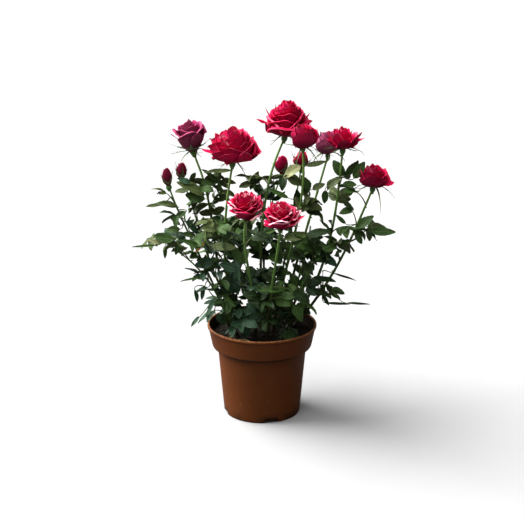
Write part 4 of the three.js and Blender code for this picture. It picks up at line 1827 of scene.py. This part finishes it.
OUTLINE_LEAVES = {
    "upper_left": (
        OutlineLeaf(0.4, 0.0, 10, LARGE, OLIVE),
        OutlineLeaf(-0.4, 0.5, 10, SMALL, BLUE),
        OutlineLeaf(-0.5, 0.2, 9, SMALL, OLIVE),
        OutlineLeaf(0.4, -0.2, 9.5, BROAD, MID),
    ),
    "upper_left_fan": (
        OutlineLeaf(0.5, 0.5, 9, LONG, OLIVE),
        OutlineLeaf(-0.2, -0.3, 10.5, NARROW, MID),
        OutlineLeaf(-0.4, -0.5, 9.5, SMALL, MID),
        OutlineLeaf(-0.2, -0.2, 5.5, SLIP, MID),
    ),
    "left_wing": (
        OutlineLeaf(0.4, -0.3, 9.5, NARROW, OLIVE),
        OutlineLeaf(0.5, -0.4, 9.5, NARROW, MID),
        OutlineLeaf(-0.4, -0.3, 9, SLIP, OLIVE),
        OutlineLeaf(0.9, -0.7, 8, SMALL, MID),
    ),
    "left": (
        OutlineLeaf(-0.3, 0.4, 10.5, SLIP, OLIVE),
        OutlineLeaf(-0.3, 0.1, 9, SMALL, MID),
        OutlineLeaf(-0.1, 0.7, 4.5, NARROW, BLUE),
        OutlineLeaf(0.2, -0.4, 9.5, SMALL, MID),
    ),
    "far_left": (
        OutlineLeaf(0.0, 0.3, 9, BLADE, LIME),
        OutlineLeaf(0.2, 0.5, 9.5, SLIP, PALE),
        OutlineLeaf(0.6, 0.8, 9.5, BROAD, MID),
        OutlineLeaf(0.3, 0.3, 6, SLIP, LIME),
        OutlineLeaf(0.8, 0.6, 6.5, SMALL, MID),
    ),
    "left_front": (
        OutlineLeaf(-0.2, -0.2, 3, OVAL, OLIVE),
        OutlineLeaf(-0.5, 0.0, 7.5, SLIP, GOLD),
        OutlineLeaf(-0.7, -0.3, 10, NARROW, MID),
        OutlineLeaf(0.0, 0.6, 9.5, SMALL, OLIVE),
    ),
    "left_low": (
        OutlineLeaf(0.6, 0.5, 8.5, BROAD, BLUE),
        OutlineLeaf(0.1, -0.8, 9, BLADE, LIME),
    ),
    "left_droop": (
        OutlineLeaf(0.2, 0.8, 8.5, SLIP, BLUE),
        OutlineLeaf(-0.6, 0.7, 5.5, SLIP, BLUE),
        OutlineLeaf(0.0, 0.8, 6.5, SLIP, BLUE),
        OutlineLeaf(-0.3, -0.5, 7.5, SLIP, BLUE),
        OutlineLeaf(0.7, 0.3, 7, NARROW, BLUE),
        OutlineLeaf(0.7, -0.4, 4.5, SMALL, BLUE),
    ),
    "upper_centre": (
        OutlineLeaf(0.7, 0.4, 9.5, BLADE, PALE),
        OutlineLeaf(-0.1, 0.2, 1, SMALL, OLIVE),
        OutlineLeaf(-0.1, 0.2, 8.5, SMALL, OLIVE),
    ),
    "tall_right": (
        OutlineLeaf(-0.2, 1.5, 8, BROAD, PALE),
        OutlineLeaf(0.1, 1.5, 2.5, NARROW, OLIVE),
        OutlineLeaf(-0.1, 0.6, 10, BROAD, OLIVE),
        OutlineLeaf(0.2, 0.2, 11.5, BROAD, MID),
        OutlineLeaf(-0.4, -0.5, 12, BROAD, DEEP),
        OutlineLeaf(-0.9, 0.0, 10, NARROW, LIME),
        OutlineLeaf(0.5, 0.4, 2, SMALL, OLIVE),
        OutlineLeaf(0.0, -0.3, 4, BROAD, DEEP),
        OutlineLeaf(0.8, -0.6, 5, SLIP, MID),
    ),
    "upper_right": (
        OutlineLeaf(-0.5, -0.3, 1.5, BROAD, OLIVE),
        OutlineLeaf(0.2, 0.0, 3, SMALL, MID),
        OutlineLeaf(0.7, 0.3, 1, BROAD, MID),
        OutlineLeaf(-0.6, -0.3, 6, SMALL, MID),
    ),
    "right_node": (
        OutlineLeaf(0.2, 0.2, 8, SMALL, MID),
        OutlineLeaf(0.2, -0.5, 8, SLIP, MID),
        OutlineLeaf(-0.1, 0.4, 10.5, SLIP, MID),
    ),
    "far_right": (
        OutlineLeaf(-0.7, 0.2, 1.5, BROAD, MID),
        OutlineLeaf(-0.8, -0.1, 5, SMALL, MID),
        OutlineLeaf(-0.2, 0.0, 3, OVAL, MID),
    ),
    "right_centre": (
        OutlineLeaf(-0.6, 0.5, 2.5, OVAL, DEEP),
        OutlineLeaf(-0.3, -0.4, 2.5, NARROW, MID),
    ),
    "under_bloom": (
        OutlineLeaf(0.0, 0.2, 3.5, LARGE, MID),
        OutlineLeaf(-0.3, 0.3, 2.5, OVAL, OLIVE),
        OutlineLeaf(-0.7, 0.9, 8.5, SLIP, LIME),
    ),
    "right_leaf": (
        OutlineLeaf(-0.7, 0.8, 4, BROAD, BLUE),
        OutlineLeaf(-1.0, -0.6, 3, NARROW, DEEP),
    ),
    "right_skirt": (
        OutlineLeaf(0.0, 1.0, 3.5, BLADE, DEEP),
        OutlineLeaf(-0.8, -0.2, 3, OVAL, DEEP),
        OutlineLeaf(-0.3, -0.4, 5, SLIP, DEEP),
        OutlineLeaf(-0.2, -1.0, 3, BLADE, DEEP),
        OutlineLeaf(0.4, -1.0, 3, BLADE, DEEP),
    ),
    "skirt_front_right": (
        OutlineLeaf(0.2, 0.6, 9, LONG, LIME),
        OutlineLeaf(0.5, 0.5, 4, BROAD, DEEP),
        OutlineLeaf(0.5, 0.0, 5, BROAD, MID),
    ),
}


@dataclass
class LeafMass:
    """One mass of the frame: where leaves may go, and the tips they must reach."""

    name: str
    tree: BVHTree = field(init=False)
    points: np.ndarray = field(init=False)
    centre: np.ndarray = field(init=False)
    volume: float = field(init=False)
    tips: np.ndarray = field(init=False)
    sharpness: float = 1.22
    least_tip: float = 0.021
    tries: int = 500

    def __post_init__(self) -> None:
        """Reads the mass's shape from its node."""
        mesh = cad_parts["leaves_" + self.name].data
        mesh.calc_loop_triangles()
        points = [np.array(v.co) for v in mesh.vertices]
        triangles = [tuple(t.vertices) for t in mesh.loop_triangles]
        self.tree = BVHTree.FromPolygons(points, triangles)
        corners = np.array([[points[i] for i in t] for t in triangles])
        crossed = np.cross(corners[:, 1], corners[:, 2])
        self.volume = float(np.einsum("ij,ij->i", corners[:, 0], crossed).sum() / 6)
        self.points = node_points("leaves_" + self.name)
        self.centre = np.median(self.points, axis=0)
        self.tips = self.sharp_tips()

    def sharp_tips(self) -> np.ndarray:
        """The points that stand far out from the points round them."""
        found = []
        reach = np.linalg.norm(self.points - self.centre, axis=1)
        for point, far in zip(self.points, reach):
            near = np.linalg.norm(self.points - point, axis=1)
            around = reach[np.argsort(near)[1:7]]
            if far > self.sharpness * around.mean() and far > self.least_tip:
                found.append(point)
        return np.array(found).reshape(-1, 3)

    def inside(self, point: np.ndarray) -> bool:
        """Whether a point lies inside the mass."""
        place, normal, _, _ = self.tree.find_nearest(Vector(point))
        return (Vector(point) - place).dot(normal) < 0

    def targets(self, count: int, fills_tips: bool, rng: np.random.Generator) -> np.ndarray:
        """Well spaced points to bring a leaf to.

        Args:
            count: How many.
            fills_tips: Whether the sharp tips are among them.
            rng: The source of their places.

        Returns:
            The points, any sharp tips first.
        """
        low, high = self.points.min(0), self.points.max(0)
        tries = rng.uniform(low, high, (self.tries, 3))
        held = np.array([p for p in tries if self.inside(p)])
        chosen = list(self.tips) if fills_tips else []
        while len(chosen) < max(count, len(self.tips)):
            if chosen:
                gaps = np.linalg.norm(held[:, None] - np.array(chosen)[None], axis=2).min(1)
            else:
                gaps = np.linalg.norm(held - self.centre, axis=1)
            chosen.append(held[int(np.argmax(gaps * rng.uniform(0.75, 1.0, len(held))))])
        return np.array(chosen)


Growth = list[tuple[np.ndarray, np.ndarray]]


@dataclass
class Foliage:
    """Every compound leaf, grown on stalks from the canes and from short side twigs."""

    canes: list[Cane]
    leaves_per_litre: float = 235.0
    leaflet_length: float = 0.0195
    leaf_rows: int = 13
    tooth_depth: float = 0.03
    leaf_thickness: float = 0.00022
    best_reach: float = 0.036
    longest_stalk: float = 0.058
    shortest_twig: float = 0.016
    stalk_radii: Span = (0.00078, 0.00042)
    outline_stalk_radii: Span = (0.00075, 0.00042)
    twig_radii: Span = (0.0012, 0.00035)
    bridge_radii: Span = (0.0011, 0.0007)
    pair_shares: Span = (0.9, 0.74)
    outline_bend: Span = (4, 26)
    seed: int = 47
    rng: np.random.Generator = field(init=False)
    leaves: dict[LeafTone, MeshBuffer] = field(default_factory=dict)
    leaf_counts: dict[tuple[str, LeafTone], int] = field(default_factory=dict)
    stalks: MeshBuffer = field(default_factory=MeshBuffer)
    twigs: MeshBuffer = field(default_factory=MeshBuffer)

    def leaflet(self, length: float, width: float, bend: Span) -> np.ndarray:
        """One finely toothed leaflet, lying along y with its face up.

        Args:
            length: Its length.
            width: Its width.
            bend: Least and most degrees that it curves down along its length.

        Returns:
            Points by step along, step across and axis.
        """
        rows, rng = self.leaf_rows, self.rng
        y = np.linspace(0, 1, rows)[:, None]
        u = np.array([-1.0, -0.52, 0.0, 0.52, 1.0])[None, :]
        shape = np.maximum(y, 0.004) ** 0.62 * np.maximum(1 - y, 0) ** 0.86
        half = width / 2 * np.maximum(shape / shape.max(), 0.03)
        tooth = (np.arange(rows) % 2)[:, None]
        border = np.abs(u) == 1
        x = u * half * np.where(border, 1 + self.tooth_depth * (2 * tooth - 1), 1)
        y = y + np.where(border, 0.2 / rows * tooth, 0) * (y < 0.97)
        fold = math.tan(math.radians(rng.uniform(8, 34)))
        wave = 0.07 * width * np.sin(y * rng.uniform(6, 10) + rng.uniform(0, 6)) * u**2
        lift = np.abs(x) * fold + wave - 0.15 * x**2 / width
        curve = math.radians(rng.uniform(*bend))
        forward = np.sin(curve * y) / curve * length
        down = (1 - np.cos(curve * y)) / curve * length
        return np.stack(
            [
                x,
                forward + lift * np.sin(curve * y),
                lift * np.cos(curve * y) - down,
            ],
            -1,
        )

    def add_leaflet(
        self,
        tone: LeafTone,
        base: np.ndarray,
        along: np.ndarray,
        normal: np.ndarray,
        length: float,
        slimness: float,
        bend: Span = (12, 65),
    ) -> None:
        """Adds a leaflet.

        Args:
            tone: Its tone.
            base: Where it starts.
            along: Which way it points.
            normal: Which way its face looks.
            length: Its length.
            slimness: Its width against its length.
            bend: Least and most degrees that it curves down.
        """
        width = length * slimness * self.rng.uniform(0.88, 1.12)
        grid = self.leaflet(length, width, bend)
        along = unit(along)
        normal = square_to(along, normal)
        across = np.cross(along, normal)
        placed = base + grid @ np.stack([across, along, normal])
        buffer = self.leaves.setdefault(tone, MeshBuffer())
        buffer.add_shell(placed, self.leaf_thickness, int(self.rng.integers(0, SHEET_COLUMNS)))

    def add_leaf(
        self,
        tone: LeafTone,
        start: np.ndarray,
        start_way: np.ndarray,
        target: np.ndarray,
        outward: np.ndarray,
        slimness: float,
    ) -> None:
        """Adds a compound leaf whose end leaflet reaches the target.

        Args:
            tone: Its tone.
            start: Where its stalk leaves the wood.
            start_way: The wood's direction there.
            target: Where its tip ends.
            outward: Away from the middle of the bush.
            slimness: The width of its leaflets against their length.
        """
        rng = self.rng
        span = target - start
        reach = float(np.linalg.norm(span))
        size = self.leaflet_length * rng.uniform(0.8, 1.15)
        size = min(size, reach * 0.62)
        way = unit(span)
        sag = rng.uniform(0.02, 0.16) * reach
        end_way = unit(way - UP * rng.uniform(0.05, 0.55))
        rachis_end = target - end_way * size * 0.97
        middle = start + (rachis_end - start) * 0.45 + UP * sag + start_way * reach * 0.08
        path = bezier([start, middle, rachis_end], 9)
        self.stalks.add_tube(path, np.linspace(*self.stalk_radii, 9), 6)
        facing = UP * rng.uniform(0.45, 1.0) + outward * rng.uniform(0.0, 0.75) + rng.normal(0, 0.3, 3)
        normal = square_to(end_way, facing)
        self.add_leaflet(tone, path[-1], end_way + rng.normal(0, 0.06, 3), normal, size, slimness)
        length = float(np.linalg.norm(np.diff(path, axis=0), axis=1).sum())
        pairs = 2 if length > 0.02 else 1
        for pair in range(pairs):
            spot = 7 - 3 * pair
            here = path[spot]
            ahead = unit(path[spot + 1] - path[spot - 1])
            face = square_to(ahead, normal)
            side = np.cross(ahead, face)
            for sign in (-1, 1):
                spread = math.radians(rng.uniform(48, 72))
                aside = side * sign * math.sin(spread)
                turn = ahead * math.cos(spread) + aside - face * rng.uniform(-0.1, 0.35)
                share = self.pair_shares[pair] * rng.uniform(0.9, 1.08)
                tilt = face + side * sign * rng.uniform(-0.1, 0.4) + rng.normal(0, 0.1, 3)
                self.add_leaflet(tone, here, turn, tilt, size * share, slimness)

    def wood_points(self) -> Growth:
        """Places and directions along every cane that a leaf or twig may grow from."""
        found = []
        for cane in self.canes:
            for i in range(4, len(cane.path) - 5, 2):
                found.append((cane.path[i], cane.tangent(i)))
        return found

    def grow_twig(self, mass: LeafMass, wood: Growth) -> Growth:
        """Grows a side twig into a mass that no cane runs through.

        Args:
            mass: The mass.
            wood: Places the twig may start from.

        Returns:
            Places and directions along the twig, none if the mass needs no twig.
        """
        gaps = [
            np.linalg.norm(p - mass.centre) + 1.1 * max(0.0, float(p[2] - mass.centre[2] + 0.018))
            for p, _ in wood
        ]
        start, way = wood[int(np.argmin(gaps))]
        span = mass.centre - start
        if np.linalg.norm(span) < self.shortest_twig:
            return []
        end = mass.centre + unit(span) * 0.004 + UP * 0.006
        middle = start + span * 0.45 + way * 0.25 * np.linalg.norm(span) + self.rng.normal(0, 0.003, 3)
        path = bezier([start, middle, end], 16)
        self.twigs.add_tube(path, np.linspace(*self.twig_radii, 16), 8)
        return [(path[i], unit(path[i] - path[i - 1])) for i in range(4, 16)]

    def add_outline_leaf(self, leaf: OutlineLeaf, foot: np.ndarray, places: Growth) -> None:
        """Adds one leaf of the outline on a stalk of its own.

        Args:
            leaf: The leaf.
            foot: Where its blade starts.
            places: Places and directions the stalk may grow from.
        """
        length, slimness = leaf.cut.value
        way = leaf.way()
        gaps = [np.linalg.norm(p - foot) + 0.6 * max(0.0, float((p - foot) @ way)) for p, _ in places]
        start, growth = places[int(np.argmin(gaps))]
        reach = float(np.linalg.norm(foot - start))
        path = bezier([start, start + growth * reach * 0.35, foot - way * reach * 0.4, foot], 9)
        self.stalks.add_tube(path, np.linspace(*self.outline_stalk_radii, 9), 6)
        normal = square_to(way, np.array([0.0, -0.7, 0.7]) + self.rng.normal(0, 0.22, 3))
        self.add_leaflet(leaf.tone, foot, way, normal, length, slimness, self.outline_bend)

    def fill(self, mass: LeafMass, wood: Growth) -> None:
        """Fills one mass with leaves.

        Args:
            mass: The mass.
            wood: Places along the canes.
        """
        name_number = sum(ord(c) * (i + 1) for i, c in enumerate(mass.name))
        rng = self.rng = np.random.default_rng([self.seed, name_number])
        plan = MASS_PLANS[mass.name]
        places = wood + self.grow_twig(mass, wood)
        count = max(3, round(mass.volume * 1000 * self.leaves_per_litre * plan.fullness))
        starts = np.array([p for p, _ in places])
        low, high = mass.points.min(0), mass.points.max(0)
        for target in mass.targets(count, plan.fills_tips, rng):
            depth = (mass.centre[2] - target[2]) / (mass.centre[2] - low[2])
            target = target - UP * plan.hang * max(0.0, float(depth))
            gap = np.linalg.norm(starts - target, axis=1)
            above = np.maximum(0, starts[:, 2] - target[2] + 0.002)
            cost = np.abs(gap - self.best_reach) + 0.7 * above + rng.uniform(0, 0.006, len(starts))
            pick = int(np.argmin(cost))
            start, way = places[pick]
            outward = unit(np.array([target[0], target[1], 0.0]))
            tone = plan.tones[int(rng.integers(0, len(plan.tones)))]
            if gap[pick] > self.longest_stalk:
                bridge = start + (target - start) * (1 - self.best_reach / gap[pick])
                path = bezier([start, (start + bridge) / 2 + UP * 0.004, bridge], 8)
                self.twigs.add_tube(path, np.linspace(*self.bridge_radii, 8), 7)
                start, way = bridge, unit(path[-1] - path[-2])
            self.add_leaf(tone, start, way, target, outward, plan.slimness)
            key = (mass.name, tone)
            self.leaf_counts[key] = self.leaf_counts.get(key, 0) + 1
        for leaf in OUTLINE_LEAVES.get(mass.name, ()):
            self.add_outline_leaf(leaf, leaf.foot(low, high), places)

    def build(self) -> None:
        """Makes and dresses every leaf, stalk and twig."""
        wood = self.wood_points()
        masses = [LeafMass(name.removeprefix("leaves_")) for name in node_names("leaves_")]
        for mass in masses:
            self.fill(mass, wood)
        stands_for: dict[LeafTone, list[str]] = {tone: [] for tone in LeafTone}
        for mass in masses:
            counts = {t: self.leaf_counts.get((mass.name, t), 0) for t in LeafTone}
            stands_for[max(counts, key=counts.get)].append("leaves_" + mass.name)
        for tone, buffer in self.leaves.items():
            piece = buffer.build("leaves_" + tone.value.name + "_tone", tone.value.materials())
            settle(piece, "leaves", *stands_for[tone])
        stalk = StemFinish(
            "leaf_stalk", srgb(78, 104, 50), srgb(68, 94, 42), srgb(60, 82, 38), srgb(96, 68, 46)
        )
        settle(self.stalks.build("leaf_stalks", [stalk.material()]), "leaves")
        twig = StemFinish(
            "twig_bark", srgb(76, 104, 50), srgb(66, 94, 42), srgb(52, 72, 34), srgb(88, 62, 42)
        )
        settle(self.twigs.build("side_twigs", [twig.material()]), "cane_bark")
        LOG.info("leaves in all: %d", sum(self.leaf_counts.values()))


# ---------------------------------------------------------------- studio


@dataclass
class Studio:
    """The pale floor, the soft light and the camera."""

    aim_height: float = 0.1724
    elevation: float = 18.14
    distance: float = 1.8
    lens: float = 113.87
    sensor: float = 36.0
    floor_half: float = 6.0
    floor_bounce: float = 0.1
    floor_paleness: float = 0.32
    key_azimuth: float = 199.0
    key_elevation: float = 44.0
    key_spread: float = 54.0
    key_power: float = 11.0
    front_azimuth: float = 120.0
    front_elevation: float = 64.0
    front_power: float = 2.2
    fill_strength: float = 0.3
    backdrop_strength: float = 1.1

    def add_floor(self) -> None:
        """Adds the plain floor."""
        buffer = MeshBuffer()
        half = self.floor_half
        first = buffer.add_points(
            np.array([[-half, -half, 0], [half, -half, 0], [half, half, 0], [-half, half, 0]], float)
        )
        buffer.add_faces(np.arange(first, first + 4)[None], np.zeros((1, 4, 2)))
        material, board = new_material("studio_floor")
        grain = board.add("TexNoise", {"Vector": board.place(), "Scale": 40.0})
        seen = self.floor_paleness
        pale = board.blend(grain.outputs[0], (seen,) * 3 + (1.0,), (seen * 1.02,) * 3 + (1.0,))
        ray = board.add("LightPath").outputs["Is Camera Ray"]
        colour = board.blend(ray, (self.floor_bounce,) * 3 + (1.0,), pale)
        rough = board.ramp(grain.outputs[0], 0.0, 1.0, 0.85, 0.95)
        surface(board, colour, rough, grain.outputs[0], 0.00001, Specular_IOR_Level=0.1)
        floor = buffer.build("studio_floor", [material])

    def add_sun(self, name: str, azimuth: float, elevation: float, power: float) -> None:
        """Adds one soft light from far away.

        Args:
            name: Its name.
            azimuth: Degrees round from the right, through the front.
            elevation: Degrees above the floor.
            power: Its strength.
        """
        turn, lift = math.radians(azimuth), math.radians(elevation)
        way = Vector((math.cos(turn) * math.cos(lift), -math.sin(turn) * math.cos(lift), math.sin(lift)))
        data = bpy.data.lights.new(name, "SUN")
        data.energy, data.angle = power, math.radians(self.key_spread)
        sun = link(bpy.data.objects.new(name, data))
        sun.rotation_euler = way.to_track_quat("Z", "Y").to_euler()

    def add_light(self) -> None:
        """Adds the soft lights and the even light from all round."""
        self.add_sun("key", self.key_azimuth, self.key_elevation, self.key_power)
        self.add_sun("front", self.front_azimuth, self.front_elevation, self.front_power)
        world = bpy.data.worlds.new("pale_room")
        world.use_nodes = True
        tree = world.node_tree
        tree.nodes.clear()
        board = Board(tree)
        seen = board.add("Background", {"Color": (1.0, 1.0, 1.0, 1.0), "Strength": self.backdrop_strength})
        cast = board.add("Background", {"Color": (1.0, 1.0, 1.0, 1.0), "Strength": self.fill_strength})
        ray = board.add("LightPath")
        inputs = {0: ray.outputs["Is Camera Ray"], 1: cast.outputs[0], 2: seen.outputs[0]}
        both = board.add("MixShader", inputs)
        sink = tree.nodes.new("ShaderNodeOutputWorld")
        tree.links.new(both.outputs[0], sink.inputs[0])
        bpy.context.scene.world = world

    def add_camera(self) -> None:
        """Adds the camera."""
        data = bpy.data.cameras.new("camera")
        data.lens, data.sensor_width = self.lens, self.sensor
        camera = link(bpy.data.objects.new("camera", data))
        lift = math.radians(self.elevation)
        back = Vector((0, -math.cos(lift), math.sin(lift)))
        camera.location = Vector((0, 0, self.aim_height)) + back * self.distance
        camera.rotation_euler = back.to_track_quat("Z", "Y").to_euler()
        bpy.context.scene.camera = camera
        bpy.context.scene.view_settings.view_transform = "Standard"

    def build(self) -> None:
        """Sets up the whole studio."""
        self.add_floor()
        self.add_light()
        self.add_camera()


def main() -> None:
    """Builds the bush, sub-assembly by sub-assembly."""
    logging.basicConfig(level=logging.INFO, format="%(name)s %(message)s")
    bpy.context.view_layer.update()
    Studio().build()
    Pot().build()
    Soil().build()
    cane_set = CaneSet()
    cane_set.build()
    canes = {cane.name.removeprefix("cane_"): cane for cane in cane_set.canes}
    blooms = [Bloom(plan, canes[plan.place], "bloom_" + plan.place, "petals") for plan in BLOOM_PLANS]
    blooms += [Bloom(plan, canes[plan.place], plan.place, "bud_petals") for plan in BUD_PLANS]
    for bloom in blooms:
        bloom.build()
    Calyces(blooms).build()
    Foliage(cane_set.canes).build()
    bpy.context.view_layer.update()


if __name__ == "__main__":
    main()
